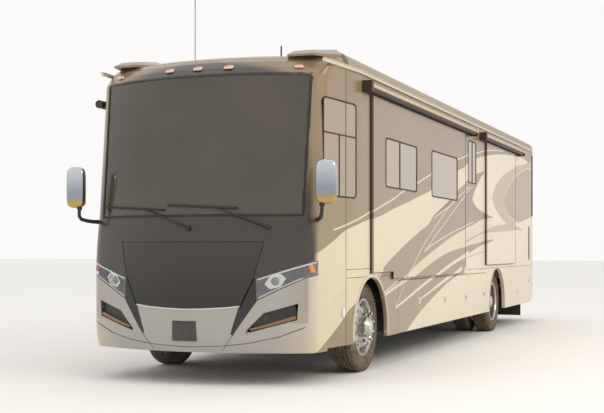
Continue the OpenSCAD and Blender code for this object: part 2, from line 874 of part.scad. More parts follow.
module antennas() {
    color("#2a2826") place() {
        translate([-493, 1200, deck_z]) cylinder(r = 22, h = 45);
        translate([-493, 1200, deck_z]) cylinder(r = 4, h = whip_h);
        translate([493, 1200, deck_z]) cylinder(r = 20, h = 35);
        translate([493, 1200, deck_z]) cylinder(r = 8, h = 150);
    }
}

module patio_awning() {
    color("#d9d4c9") place() mirror([1, 0, 0]) {
        translate([half_w + 62, 2000, 2975]) rotate([-90, 0, 0]) cylinder(r = 55, h = 5600);
        for (s = [2000, 7560]) translate([half_w, s, 2890]) cube([40, 40, 150]);
        translate([1325, 640, 2790]) rotate([-90, 0, 0]) cylinder(r = 42, h = 600);
        for (s = [700, 1140]) side_plate(s, s + 40, 2760, 2820, -70, 0);
    }
}

module topper(s0, s1) {
    z = slide_top_z;
    translate([half_w + 62, s0, z + 56]) rotate([-90, 0, 0]) cylinder(r = 44, h = s1 - s0);
    for (s = [s0, s1 - 60]) translate([face_x0, s, z]) cube([100, 60, 115]);
    translate([face_x0, s0, z]) cube([14, s1 - s0, 40]);
}

module slide_box(s0, len, depth) {
    hole = slide_hole(s0, len);
    g = panel_gap;
    x0 = half_w - depth;
    y0 = hole[0] + g;
    y1 = hole[1] - g;
    z1 = slide_hole_z1 - g;
    for (s = [y0 + 200, (y0 + y1) / 2, y1 - 260])
        translate([x0 + 20, s, floor_z + seat_gap]) cube([depth - 60, 60, g - seat_gap]);
    difference() {
        translate([x0, y0, slide_floor_z]) cube([depth + face_gap, y1 - y0, z1 - slide_floor_z]);
        translate([x0 - 1, y0 + slide_t, slide_floor_z + slide_t])
            cube([depth - slide_t + 1, y1 - y0 - 2 * slide_t, z1 - slide_floor_z - 2 * slide_t]);
    }
}

module main_slide() {
    color("#a39a8b") place() difference() {
        union() {
            slide_box(main_s0, main_len, main_depth);
            side_cut(face_x0, face_x1) polygon([
                [main_s0, slide_mid_z], [slide_step_s, slide_mid_z], [slide_step_s, slide_low_z],
                [main_s0 + main_len, slide_low_z], [main_s0 + main_len, slide_top_z], [main_s0, slide_top_z]]);
        }
        window_holes(main_windows);
    }
}

module main_slide_glass() {
    color("#cbbfa8") place() translate([face_x1 - half_w, 0, 0]) bonded_glass(main_windows);
}

module bedroom_slide() {
    color("#a39a8b") place() union() {
        slide_box(bed_s0, bed_len, bed_depth);
        side_cut(face_x0, face_x1) translate([bed_s0, slide_bed_z]) square([bed_len, slide_top_z - slide_bed_z]);
    }
}

module main_topper() {
    color("#4a443c") place() topper(1443, 6323);
}

module bedroom_topper() {
    color("#4a443c") place() topper(6871, 9960);
}

module window_glass() {
    color("#cbbfa8") place() {
        bonded_glass([driver_window]);
        bonded_glass(coach_windows_left);
        mirror([1, 0, 0]) bonded_glass(coach_windows_right);
    }
}

door_window = [640, 1080, 1500, 2420];

module entry_door() {
    color("#a39a8b") place() mirror([1, 0, 0]) difference() {
        side_plate(door_s0, door_s0 + door_len, door_z0, door_z1, 0, door_t);
        window_holes([door_window]);
    }
}

module entry_door_glass() {
    color("#cbbfa8") place() mirror([1, 0, 0]) bonded_glass([door_window]);
}

// ---- Rear end ----

module rear_bumper() {
    color("#5a544c") place() difference() {
        translate([0, 0, tail_z0]) linear_extrude(tail_z1 - tail_z0) rear_plan(0);
        translate([0, -1, 0]) linear_extrude(800) rear_plan(60);
        translate([-hitch_notch_x, body_end - 200, tail_z0 - 1]) cube([2 * hitch_notch_x, 300, 130]);
    }
}

hitch_z = 430;

module hitch_receiver() {
    color("#2b2724") place() difference() {
        union() {
            translate([-hitch_out / 2, body_len - 320, hitch_z]) cube([hitch_out, 320, hitch_out]);
            translate([-frame_x - 20, body_len - 300, hitch_z]) cube([2 * frame_x + 40, 60, 60]);
            both() translate([frame_x - 20, body_len - 400, hitch_z]) cube([40, 160, frame_z0 - hitch_z]);
        }
        translate([-hitch_in / 2, body_len - 321, hitch_z + (hitch_out - hitch_in) / 2])
            cube([hitch_in, 330, hitch_in]);
        translate([-hitch_out, body_len - 66, hitch_z + hitch_out / 2]) rotate([0, 90, 0])
            cylinder(r = hitch_pin_r, h = 2 * hitch_out);
    }
}

module rock_guard() {
    color("#2b2724") place() translate([-1140, 10850, 100]) cube([2280, 12, frame_z0 - 100]);
}

// ---- Interior ----

module at_wheel() {
    translate([seat_x, 770, 1560]) rotate([-55, 0, 0]) children();
}

module dashboard() {
    color("#6b6156") place() difference() {
        intersection() {
            nose([floor_z, 1150, 1280, 1460], cap_t + 4);
            translate([-2000, 0, floor_z]) cube([4000, 620, 420]);
        }
        translate([-1100, 400, floor_z - 1]) cube([1950, 400, 250]);
        at_wheel() translate([0, 0, -400]) cylinder(r = 35, h = 400);
    }
}

seat_x = 560;
seat_s = 1250;

module seat() {
    translate([seat_x - 260, seat_s - 260, 1420]) cube([520, 520, 140]);
    translate([seat_x - 250, seat_s + 260 + seat_gap, 1450]) cube([500, 130, 640]);
    translate([seat_x - 140, seat_s + 275, 2090 + seat_gap]) cube([280, 100, 200]);
}

module seats() {
    color("#b9a98e") place() both() seat();
}

module seat_bases() {
    color("dimgray") place() both() {
        translate([seat_x - 150, seat_s - 170, floor_z]) cube([300, 340, 330]);
        translate([seat_x - 240, seat_s - 250, 1370]) cube([480, 500, 50]);
    }
}

module steering_wheel() {
    color("#2b2724") place() at_wheel() {
        rotate_extrude() translate([210, 0]) circle(r = 16);
        for (a = [90, 210, 330]) rotate(a) translate([0, -14, -8]) cube([210, 28, 16]);
        translate([0, 0, -20]) cylinder(r = 62, h = 40);
        translate([0, 0, -260]) cylinder(r = 35, h = 250);
    }
}

chassis_frame();
front_axle();
rear_axle();
engine_block();
cabin_floor();
front_cap();
windshield();
driver_side_wall();
passenger_side_wall();
roof();
rear_cap();
side_skirts();
storage_bays();
front_bumper();
headlights();
grille_blades();
small_lamps();
window_glass();
mirrors();
wipers();
roof_units();
antennas();
patio_awning();
rear_bumper();
hitch_receiver();
rock_guard();
dashboard();
seats();
seat_bases();
steering_wheel();
knuckle_left();
knuckle_right();
front_tire_left();
front_rim_left();
front_tire_right();
front_rim_right();
rear_tires_left();
rear_rims_left();
rear_tires_right();
rear_rims_right();
entry_door();
entry_door_glass();
hood();
main_slide();
main_slide_glass();
main_topper();
bedroom_slide();
bedroom_topper();
bay_door_left_1();
bay_door_left_2();
bay_door_left_3();
bay_door_left_4();
bay_door_right_1();
bay_door_right_2();
engine_hatch();
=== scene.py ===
"""Looks of a full-size motorhome: paint, glass, lamps, tyres, trim, seats and the studio around them."""

import json
import math

import bmesh
import bpy
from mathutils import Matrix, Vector

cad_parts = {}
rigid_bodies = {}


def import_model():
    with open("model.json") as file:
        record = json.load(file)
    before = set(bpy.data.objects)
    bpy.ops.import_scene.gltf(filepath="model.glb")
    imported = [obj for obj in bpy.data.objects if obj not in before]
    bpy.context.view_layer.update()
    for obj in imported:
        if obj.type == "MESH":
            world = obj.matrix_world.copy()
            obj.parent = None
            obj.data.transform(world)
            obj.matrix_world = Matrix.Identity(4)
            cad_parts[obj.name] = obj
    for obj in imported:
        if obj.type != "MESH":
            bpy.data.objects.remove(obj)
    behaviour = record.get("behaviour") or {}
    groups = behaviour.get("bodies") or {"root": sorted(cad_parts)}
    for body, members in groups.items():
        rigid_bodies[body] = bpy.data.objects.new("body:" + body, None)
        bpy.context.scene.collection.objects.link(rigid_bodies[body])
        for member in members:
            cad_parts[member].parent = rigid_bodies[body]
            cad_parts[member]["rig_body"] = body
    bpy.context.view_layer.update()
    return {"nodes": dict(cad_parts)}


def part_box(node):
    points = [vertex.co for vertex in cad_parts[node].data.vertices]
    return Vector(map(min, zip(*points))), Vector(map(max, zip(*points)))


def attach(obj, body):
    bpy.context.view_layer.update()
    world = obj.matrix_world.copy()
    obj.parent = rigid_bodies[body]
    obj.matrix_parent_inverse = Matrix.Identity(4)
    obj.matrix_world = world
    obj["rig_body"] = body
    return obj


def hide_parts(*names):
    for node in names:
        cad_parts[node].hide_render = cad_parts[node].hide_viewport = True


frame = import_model()
NODES = frame["nodes"]

bl_info = {
    "name": "Motorhome looks",
    "version": (1, 0, 0),
    "blender": (4, 5, 0),
    "location": "View3D > Sidebar > Motorhome",
    "description": "Builds the paint, glass, lamps, tyres, trim and seats of a motorhome on its packed frame",
    "category": "Object",
}

HALF_LENGTH = 5.7      # stations s count back from the nose, so Y = s - HALF_LENGTH
HALF_WIDTH = 1.2825
TAPER = math.tan(math.radians(6))
SLIDE_FACE = 1.3065    # outer face of both slide-out rooms
REAR_FACE = 11.385 - HALF_LENGTH
NOSE_BOW = .224        # setback per square metre of half width
MAIN_SLIDE = (1.737, 5.896)
BEDROOM_SLIDE = (7.273, 9.511)
SLIDE_TOP = 2.885
SEAM = .0012           # how far seams and edges stand proud
BRACKET_HALF = .036    # half width of a topper's front bracket
TWIN_GAP = .065        # space between the twin tyres
RIM_RADIUS = .2863     # seat of the tyre's bead
SEAT_X = .56
PIPING_HALF = .255
SENSOR = 36.0
FOCAL = 1122.142 / 604                  # in widths of the sensor
HORIZON_SHIFT = (249.837 - 206.5) / 604
PAD_ROUNDING = 8
PAD_START = .96        # a pad starts this much smaller than its box
PAD_VOXEL = .016
PAD_PRESSURE = 3.0
PAD_FRAMES = 12
PAD_CROWN = .012
MATERIALS = {}          # filled by the first operator


# ---- Shape of the nose and the sides, in metres ----

def lerp_table(v, table):
    for (a, fa), (b, fb) in zip(table, table[1:]):
        if v <= b:
            return fa + (fb - fa) * max(0.0, v - a) / (b - a)
    return table[-1][1]


def nose_setback(z):
    """Setback of the front's centre line at height z."""
    if z > 2.946:
        return lerp_table(z - 2.946, [(0, .2223), (.064, .285), (.134, .365), (.184, .45), (.219, .56)])
    if z > 1.606:
        return .072 + math.tan(math.radians(6.4)) * (z - 1.606)
    if z > 1.011:
        return .072 * ((z - 1.011) / .595) ** 2
    return 0.0 if z > .56 else .06 * ((.56 - z) / .248) ** 2


def corner(z):
    """Start, middle and end of the rounded front corner at height z, as (x, s)."""
    inset = 0.0 if z <= 3.095 else .14 - math.sqrt(max(0.0, .14 ** 2 - (z - 3.095) ** 2))
    b = 1.06 - inset
    s = nose_setback(z) + NOSE_BOW * b * b
    u = Vector((1, 2 * NOSE_BOW * b)).normalized()
    c = (HALF_WIDTH - inset - (1.3 - s) * TAPER - b) / (u.x - TAPER * u.y)
    p0 = Vector((b, s))
    p1 = p0 + c * u
    return p0, p1, p1 + .65 * c * Vector((TAPER, 1)).normalized()


def skin(x, z, out=0.0):
    """Point on the front's skin at x and z, moved outwards."""
    a = abs(x)
    p0, p1, p2 = corner(z)
    if a <= p0.x:
        p, t = Vector((a, nose_setback(z) + NOSE_BOW * a * a)), Vector((1, 2 * NOSE_BOW * a))
    else:
        u = 0.0
        for i in range(41):
            u = i / 40
            p = (1 - u) ** 2 * p0 + 2 * u * (1 - u) * p1 + u * u * p2
            if p.x >= a:
                break
        t = (1 - u) * (p1 - p0) + u * (p2 - p1)
    n = Vector((t.y, -t.x)).normalized()
    return Vector((math.copysign(p.x + n.x * out, x), p.y + n.y * out - HALF_LENGTH, z))


def side(s, z, out=0.0, wall=HALF_WIDTH):
    """Point on the driver's side at station s and height z, moved outwards."""
    return Vector((wall - max(0.0, 1.3 - s) * TAPER + out, s - HALF_LENGTH, z))


# ---- Mesh helpers ----

def turn(count):
    """Angles of a full turn in equal steps."""
    return (2 * math.pi * i / count for i in range(count))


def rounded(count, power):
    """Unit outline between a circle (power 1) and a square (power near 0)."""
    for a in turn(count):
        c, s = math.cos(a), math.sin(a)
        yield math.copysign(abs(c) ** power, c), math.copysign(abs(s) ** power, s)


class Shell:
    """Collects lofts of closed rings into one mesh."""

    def __init__(self):
        self.verts = []
        self.faces = []

    def loft(self, rings, closed=False, caps=True):
        base = len(self.verts)
        n = len(rings[0])
        for ring in rings:
            self.verts.extend(Vector(p) for p in ring)
        count = len(rings)
        for i in range(count if closed else count - 1):
            a, b = base + i * n, base + (i + 1) % count * n
            self.faces.extend((a + j, a + (j + 1) % n, b + (j + 1) % n, b + j) for j in range(n))
        if caps and not closed:
            self.faces.append(tuple(range(base, base + n))[::-1])
            self.faces.append(tuple(range(base + (count - 1) * n, base + count * n)))
        return self

    def box(self, lo, hi):
        (x0, y0, z0), (x1, y1, z1) = lo, hi
        return self.loft([[(x0, y0, z), (x1, y0, z), (x1, y1, z), (x0, y1, z)] for z in (z0, z1)])

    def tube(self, points, radius, sides=10, closed=False):
        pts = [Vector(p) for p in points]
        rings = []
        up = Vector((0, 0, 1))
        for i, p in enumerate(pts):
            ahead = pts[(i + 1) % len(pts)] if closed or i + 1 < len(pts) else p
            back = pts[i - 1] if closed or i else p
            t = (ahead - back).normalized()
            if abs(t.dot(up)) > .95:
                up = Vector((1, 0, 0)) if abs(t.x) < .9 else Vector((0, 1, 0))
            n = (up - t * t.dot(up)).normalized()
            up = n
            b = t.cross(n)
            r = radius[i] if isinstance(radius, (list, tuple)) else radius
            rings.append([p + r * (math.cos(a) * n + math.sin(a) * b) for a in turn(sides)])
        return self.loft(rings, closed)

    def lathe(self, profile, centre, steps):
        """Turns a closed outline of (radius, along) points about an axis parallel to X."""
        rings = []
        for a in turn(steps):
            c, s = math.cos(a), math.sin(a)
            rings.append([Vector(centre) + Vector((h, r * c, r * s)) for r, h in profile])
        return self.loft(rings, True)

    def mirrored(self):
        base = len(self.verts)
        self.verts.extend([Vector((-p.x, p.y, p.z)) for p in self.verts[:base]])
        self.faces.extend([tuple(base + i for i in f)[::-1] for f in list(self.faces)])
        return self


def finish(name, shell, material, body="coach", bevel=0.0, angle=35, replaces=(), mirror=False,
           subdivide=0):
    """Turns a shell into a finished piece that rides on a body."""
    if mirror:
        shell.mirrored()
    mesh = bpy.data.meshes.new(name)
    mesh.from_pydata([tuple(v) for v in shell.verts], [], shell.faces)
    bm = bmesh.new()
    bm.from_mesh(mesh)
    bmesh.ops.remove_doubles(bm, verts=bm.verts, dist=1e-5)
    bmesh.ops.dissolve_degenerate(bm, edges=bm.edges, dist=1e-6)
    bmesh.ops.recalc_face_normals(bm, faces=bm.faces)
    bm.to_mesh(mesh)
    bm.free()
    return register_piece(name, mesh, material, body, bevel, angle, replaces, subdivide)


def register_piece(name, mesh, material, body, bevel=0.0, angle=35, replaces=(), subdivide=0):
    piece = bpy.data.objects.new(name, mesh)
    bpy.context.scene.collection.objects.link(piece)
    mesh.materials.clear()
    mesh.materials.append(MATERIALS[material])
    mesh.shade_smooth()
    mesh.set_sharp_from_angle(angle=math.radians(angle))
    if bevel:
        m = piece.modifiers.new("Edge", "BEVEL")
        m.width, m.segments, m.limit_method, m.angle_limit = bevel, 2, "ANGLE", math.radians(40)
        m.harden_normals = True
    if subdivide:
        m = piece.modifiers.new("Smooth", "SUBSURF")
        m.levels = m.render_levels = subdivide
    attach(piece, body)
    if replaces:
        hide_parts(*replaces)
    return piece


def smooth_copy(node, material, bevel=0.0, angle=30, name=None):
    """Merged copy of a CAD node with smooth shading, shown in its place."""
    source = NODES[node]
    mesh = source.data.copy()
    bm = bmesh.new()
    bm.from_mesh(mesh)
    bmesh.ops.remove_doubles(bm, verts=bm.verts, dist=2e-6)
    if bevel:
        bmesh.ops.dissolve_limit(bm, angle_limit=.01, verts=bm.verts, edges=bm.edges)
    bm.to_mesh(mesh)
    bm.free()
    for layer in list(mesh.uv_layers):
        mesh.uv_layers.remove(layer)
    if "custom_normal" in mesh.attributes:
        mesh.attributes.remove(mesh.attributes["custom_normal"])
    return register_piece(name or node + "_finish", mesh, material, source["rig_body"], bevel, angle, (node,))


def dress(material, *names):
    """Gives CAD nodes a material and leaves their shape alone."""
    for name in names:
        data = NODES[name].data
        data.materials.clear()
        data.materials.append(MATERIALS[material])


# ---- Shader helpers ----

def new_material(name):
    m = bpy.data.materials.new(name)
    m.use_nodes = True
    t = m.node_tree
    p = next(n for n in t.nodes if n.type == "BSDF_PRINCIPLED")
    return m, t, p


class Graph:
    """Short names for the nodes of one shader tree, with the Object coordinates."""

    def __init__(self, tree):
        self.tree = tree
        coords = tree.nodes.new("ShaderNodeTexCoord")
        parts = tree.nodes.new("ShaderNodeSeparateXYZ")
        tree.links.new(coords.outputs["Object"], parts.inputs[0])
        self.vector = coords.outputs["Object"]
        self.y, self.z = parts.outputs[1], parts.outputs[2]

    def node(self, kind, **values):
        n = self.tree.nodes.new(kind)
        for key, value in values.items():
            setattr(n, key, value)
        return n

    def put(self, socket, value):
        if isinstance(value, bpy.types.NodeSocket):
            self.tree.links.new(value, socket)
        else:
            socket.default_value = value

    def math(self, op, a, b=0.0, clamp=False):
        n = self.node("ShaderNodeMath", operation=op, use_clamp=clamp)
        self.put(n.inputs[0], a)
        self.put(n.inputs[1], b)
        return n.outputs[0]

    def mix(self, factor, a, b):
        n = self.node("ShaderNodeMix", data_type="RGBA")
        self.put(n.inputs[0], factor)
        self.put(n.inputs[6], a)
        self.put(n.inputs[7], b)
        return n.outputs[2]

    def ramp(self, v, lo, hi, a=0.0, b=1.0):
        n = self.node("ShaderNodeMapRange")
        for i, x in enumerate((v, lo, hi, a, b)):
            self.put(n.inputs[i], x)
        return n.outputs[0]

    def noise(self, vector, scale, detail=4.0):
        n = self.node("ShaderNodeTexNoise")
        self.put(n.inputs["Vector"], vector)
        n.inputs["Scale"].default_value = scale
        n.inputs["Detail"].default_value = detail
        return n.outputs[0]



def shader_group(name, inputs, outputs):
    g = bpy.data.node_groups.new(name, "ShaderNodeTree")
    for label, kind, value in inputs:
        s = g.interface.new_socket(label, in_out="INPUT", socket_type=kind)
        s.default_value = value
    for label, kind in outputs:
        g.interface.new_socket(label, in_out="OUTPUT", socket_type=kind)
    return g, g.nodes.new("NodeGroupInput"), g.nodes.new("NodeGroupOutput")


def place_group(tree, group, **values):
    n = tree.nodes.new("ShaderNodeGroup")
    n.node_tree = group
    for key, value in values.items():
        socket = n.inputs[key.replace("_", " ")]
        if isinstance(value, bpy.types.NodeSocket):
            tree.links.new(value, socket)
        else:
            socket.default_value = value
    return n


def rgb(r, g, b):
    """Linear colour of an sRGB triple from 0 to 255."""
    f = lambda c: c / 12.92 if c <= .04045 else ((c + .055) / 1.055) ** 2.4
    return (f(r / 255), f(g / 255), f(b / 255), 1.0)


# Edges of the painted bands on the sides, as (station, height)
BANDS = {
    "pin_1": [(.75, 1.47), (1, 1.515), (1.25, 1.57), (1.5, 1.625), (2, 1.737), (2.5, 1.848), (2.75, 1.917),
        (3.33, 2.043), (4, 2.198), (5.33, 2.476), (6, 2.59), (6.65, 2.68), (7.5, 2.79), (8.5, 2.86)],
    "cream_top": [(.3, 1.22), (.5, 1.275), (.8, 1.383), (1, 1.463), (1.5, 1.567), (2, 1.64), (2.5, 1.737),
        (3, 1.82), (3.5, 1.912), (4, 2.0), (5.35, 2.33), (5.75, 2.405), (6.65, 2.60), (7.5, 2.717),
        (8.5, 2.807), (9.5, 2.86), (10, 2.877), (10.5, 2.873), (10.8, 2.843), (11.4, 2.80)],
    "cream_low": [(.3, .59), (.75, .796), (1, .896), (1.25, 1.0), (2.05, 1.077), (2.25, 1.14), (2.5, 1.217),
        (3, 1.36), (3.5, 1.488), (4, 1.614), (4.1, 1.67), (4.35, 1.75), (5, 1.936), (5.35, 2.055),
        (6, 2.226), (6.65, 2.377), (7, 2.427), (7.25, 2.455)],
    "rear_low": [(7.2, 1.822), (7.5, 1.79), (7.74, 1.78), (7.79, .01), (11.4, 0)],
    "taupe_low": [(2.6, 0), (2.9, .25), (3.1, .36), (3.5, .495), (4, .63), (4.5, .745), (5, .852),
        (5.5, .929), (5.8, .97), (6.0, 1.19), (6.5, 1.28), (7, 1.343), (7.8, 1.43)],
    "band_top": [(2.2, .80), (2.5, .86), (3, .96), (3.1, 1.01), (3.25, 1.062), (3.5, 1.126), (4, 1.233),
        (4.5, 1.336), (5, 1.431), (5.5, 1.512), (6, 1.583), (6.5, 1.645), (7, 1.72), (7.75, 1.775)],
    "band_low": [(2.2, .765), (2.5, .823), (3, .905), (3.5, 1.0), (4, 1.098), (4.5, 1.186), (5, 1.252),
        (5.5, 1.293), (6, 1.326), (6.5, 1.362), (7, 1.393), (7.25, 1.417), (7.8, 1.435)],
    "line_3": [(2.62, .63), (3, .70), (3.5, .80), (4, .893), (4.5, .988), (5, 1.074), (5.5, 1.15),
        (6, 1.214), (6.5, 1.28), (7, 1.343), (7.8, 1.43)],
    "pin_3": [(2.18, .8125), (2.5, .883), (2.75, .942), (3, .983), (3.25, 1.086), (3.5, 1.233),
        (3.75, 1.357), (4, 1.457), (4.25, 1.56), (4.5, 1.662), (5, 1.855), (5.5, 2.0), (6, 2.126),
        (6.25, 2.179)],
    "pin_4": [(3.75, 1.26), (4, 1.345), (4.25, 1.455), (4.5, 1.536), (5, 1.717), (5.5, 1.90), (6, 2.067),
        (6.45, 2.186)],
    "pin_5": [(3.75, 1.255), (4, 1.317), (4.5, 1.407), (5, 1.49), (5.5, 1.56), (6, 1.621), (6.5, 1.679)],
    "pin_6": [(4.15, 1.66), (4.25, 1.685), (4.5, 1.745), (5, 1.86), (5.25, 1.924), (5.4, 2.06)],
    "pin_7": [(3.65, .688), (4, .742), (4.5, .828), (5, .91), (5.5, .995), (5.7, 1.03)],
    "fork": [(2.62, .63), (2.75, .72), (2.95, .86)],
    "olive": [(5.75, 1.14), (6.5, 1.205), (7.3, 1.255)],
    "fender": [(.3, .27), (.5, .37), (.75, .4875), (.95, .598), (1.1, .6875), (1.25, .744), (2.1, 1.0)],
    "blade_top": [(6.42, 2.0), (6.5, 2.085), (6.75, 2.227), (7, 2.36), (7.25, 2.455)],
    "blade_low": [(6.42, 2.0), (6.5, 1.95), (6.75, 1.883), (7, 1.85), (7.25, 1.817)],
    "tan_top": [(7.65, 2.08), (7.75, 2.185), (8, 2.31), (8.25, 2.40), (8.5, 2.477), (9, 2.573),
        (9.25, 2.617), (9.75, 2.71), (10.5, 2.793), (10.8, 2.84), (11.4, 2.87)],
    "tan_low": [(7.65, 2.08), (7.75, 1.973), (8, 1.873), (8.25, 1.80), (8.5, 1.75), (8.72, 1.705),
        (8.74, 1.58), (9.5, 1.607), (9.6, 1.61), (9.62, 1.75), (10, 1.755), (10.5, 1.80), (11, 1.857),
        (11.4, 1.91)],
    "tail_top": [(5.85, 1.36), (6.5, 1.48), (7, 1.535), (7.25, 1.573), (7.5, 1.61), (8, 1.657),
        (8.5, 1.683), (8.74, 1.70)],
    "tail_low": [(5.85, 1.345), (6.5, 1.445), (7, 1.51), (7.25, 1.533), (8, 1.557), (9, 1.59), (9.5, 1.607),
        (10.35, 1.62)],
    "wedge": [(9.6, 1.75), (9.7, 1.685), (10, 1.66), (10.35, 1.62)],
    "inner_top": [(8.55, 2.03), (8.6, 2.13), (8.75, 2.227), (9, 2.34), (9.25, 2.44), (9.75, 2.55),
        (10.25, 2.65), (10.75, 2.727), (11.2, 2.74), (11.4, 2.74)],
    "inner_low": [(8.55, 2.03), (8.6, 1.983), (8.75, 1.907), (9, 1.833), (9.2, 1.80), (9.6, 1.765),
        (10, 1.77), (11.4, 1.92)],
}


def band_group():
    """Shader group that paints the sweeping bands over the sides."""
    colours = bpy.context.scene.coach_colours
    inputs = [(n, "NodeSocketColor", tuple(getattr(colours, n.lower())) + (1,))
              for n in ("Taupe", "Cream", "Tan", "Shade")]
    group, gin, gout = shader_group("coach_bands", inputs, [("Color", "NodeSocketColor")])
    g = Graph(group)
    s = g.math("ADD", g.y, HALF_LENGTH)
    along = g.math("DIVIDE", s, 11.4)
    curves = {}

    def height(key):
        if key not in curves:
            n = g.node("ShaderNodeFloatCurve")
            curve = n.mapping.curves[0]
            pts = BANDS[key]
            while len(curve.points) < len(pts):
                curve.points.new(.5, .5)
            for point, (a, b) in zip(curve.points, pts):
                point.location = (a / 11.4, b / 3.3)
                point.handle_type = "VECTOR" if key in ("rear_low", "tan_low", "taupe_low") else "AUTO"
            n.mapping.extend = "HORIZONTAL"
            n.mapping.update()
            g.put(n.inputs["Value"], along)
            curves[key] = g.math("MULTIPLY", n.outputs[0], 3.3)
        return curves[key]

    def window(a, b):
        return g.math("MULTIPLY", g.ramp(s, a, a + .01), g.ramp(s, b, b - .01))

    def below(key):
        return g.ramp(g.math("SUBTRACT", height(key), g.z), -.003, .003)

    def between(top, low, a, b):
        inside = g.math("MULTIPLY", below(top), g.math("SUBTRACT", 1.0, below(low)))
        return g.math("MULTIPLY", inside, window(a, b))

    def line(key, width, a, b, grow=0.0):
        gap = g.math("ABSOLUTE", g.math("SUBTRACT", g.z, height(key)))
        half = g.ramp(s, a, b, width / 2, width / 2 + grow)
        return g.math("MULTIPLY", g.ramp(g.math("SUBTRACT", gap, half), .003, -.003), window(a, b))

    taupe, cream, tan, shade = (gin.outputs[i] for i in range(4))
    soft = g.mix(.22, cream, tan)
    colour = g.mix(g.ramp(g.z, .4, 2.2, .30, 0.0), taupe, tan)
    for mask, paint in (
            (line("pin_1", .016, .75, 8.5), cream),
            (between("cream_top", "cream_low", .3, 7.25), soft),
            (g.math("MULTIPLY", g.math("SUBTRACT", 1.0, below("pin_6")),
                    between("cream_low", "pin_6", 4.15, 5.35)), shade),
            (line("pin_6", .014, 4.2, 5.3), cream),
            (between("blade_top", "blade_low", 6.42, 7.26), cream),
            (between("band_top", "band_low", 2.2, 7.8), soft),
            (g.math("MULTIPLY", below("taupe_low"), window(2.6, 7.8)), cream),
            (line("line_3", .025, 2.62, 6.2, .015), cream), (line("pin_7", .02, 3.65, 5.7, .02), cream),
            (line("pin_3", .014, 2.18, 6.25), cream), (line("pin_4", .013, 3.75, 6.45), cream),
            (line("pin_5", .013, 3.75, 6.5), cream), (line("fork", .012, 2.62, 2.95), cream),
            (line("olive", .012, 5.75, 7.3), tan),
            (between("cream_low", "fender", .1, 2.1), g.mix(.30, cream, tan)),
            (g.math("MULTIPLY", below("fender"), window(.2, 2.1)), taupe),
            (line("fender", .012, .35, 1.3), cream),
            (between("cream_top", "rear_low", 7.25, 11.5), cream),
            (between("tan_top", "tan_low", 7.65, 11.5), tan),
            (between("tail_top", "tail_low", 5.85, 8.75), tan),
            (between("wedge", "tail_low", 9.6, 10.35), tan),
            (between("inner_top", "inner_low", 8.55, 11.5), g.mix(.5, tan, taupe)),
            (line("inner_top", .014, 8.56, 11.2), cream), (line("inner_low", .014, 8.56, 9.6), cream)):
        colour = g.mix(mask, colour, paint)
    group.links.new(colour, gout.inputs[0])
    return group


def wear_group():
    """Shader group with dust low down, faint mottling and a fine surface ripple."""
    group, gin, gout = shader_group(
        "road_dust",
        [("Color", "NodeSocketColor", (.5, .5, .5, 1)), ("Dust", "NodeSocketFloat", .2),
         ("Rough", "NodeSocketFloat", .3), ("Grain", "NodeSocketFloat", 60.0)],
        [("Color", "NodeSocketColor"), ("Roughness", "NodeSocketFloat"), ("Height", "NodeSocketFloat")])
    g = Graph(group)
    broad = g.noise(g.vector, 1.7, 5)
    fine = g.noise(g.vector, 23.0, 6)
    low = g.ramp(g.z, 1.0, .3)
    patches = g.math("MULTIPLY", g.math("ADD", low, .12), g.ramp(fine, .3, .75))
    dust = g.math("MULTIPLY", gin.outputs["Dust"], patches)
    shade = g.mix(g.ramp(broad, .3, .7, 0, .06), gin.outputs["Color"], (.05, .04, .03, 1))
    group.links.new(g.mix(dust, shade, (.30, .25, .19, 1)), gout.inputs[0])
    matt = g.math("ADD", dust, g.math("MULTIPLY", fine, .08))
    rough = g.math("ADD", gin.outputs["Rough"], g.math("MULTIPLY", matt, .6))
    group.links.new(rough, gout.inputs[1])
    n = g.node("ShaderNodeTexNoise")
    g.put(n.inputs["Vector"], g.vector)
    g.put(n.inputs["Scale"], gin.outputs["Grain"])
    group.links.new(n.outputs[0], gout.inputs[2])
    return group


def surface(name, colour, rough, metal=0.0, coat=0.0, dust=.15, grain=60.0, bump=.05, distance=.001,
            sheen=0.0):
    """Principled finish with the shared dust group; colour is a value or a function that makes a socket."""
    m, t, p = new_material(name)
    wear = place_group(t, bpy.data.node_groups["road_dust"], Dust=dust, Rough=rough, Grain=grain)
    if callable(colour):
        t.links.new(colour(t), wear.inputs["Color"])
    else:
        wear.inputs["Color"].default_value = colour
    t.links.new(wear.outputs["Color"], p.inputs["Base Color"])
    t.links.new(wear.outputs["Roughness"], p.inputs["Roughness"])
    b = t.nodes.new("ShaderNodeBump")
    b.inputs["Strength"].default_value = bump
    b.inputs["Distance"].default_value = distance
    t.links.new(wear.outputs["Height"], b.inputs["Height"])
    t.links.new(b.outputs[0], p.inputs["Normal"])
    p.inputs["Metallic"].default_value = metal
    p.inputs["Coat Weight"].default_value = coat
    p.inputs["Coat Roughness"].default_value = .05
    if sheen:
        p.inputs["Sheen Weight"].default_value = sheen
    return m


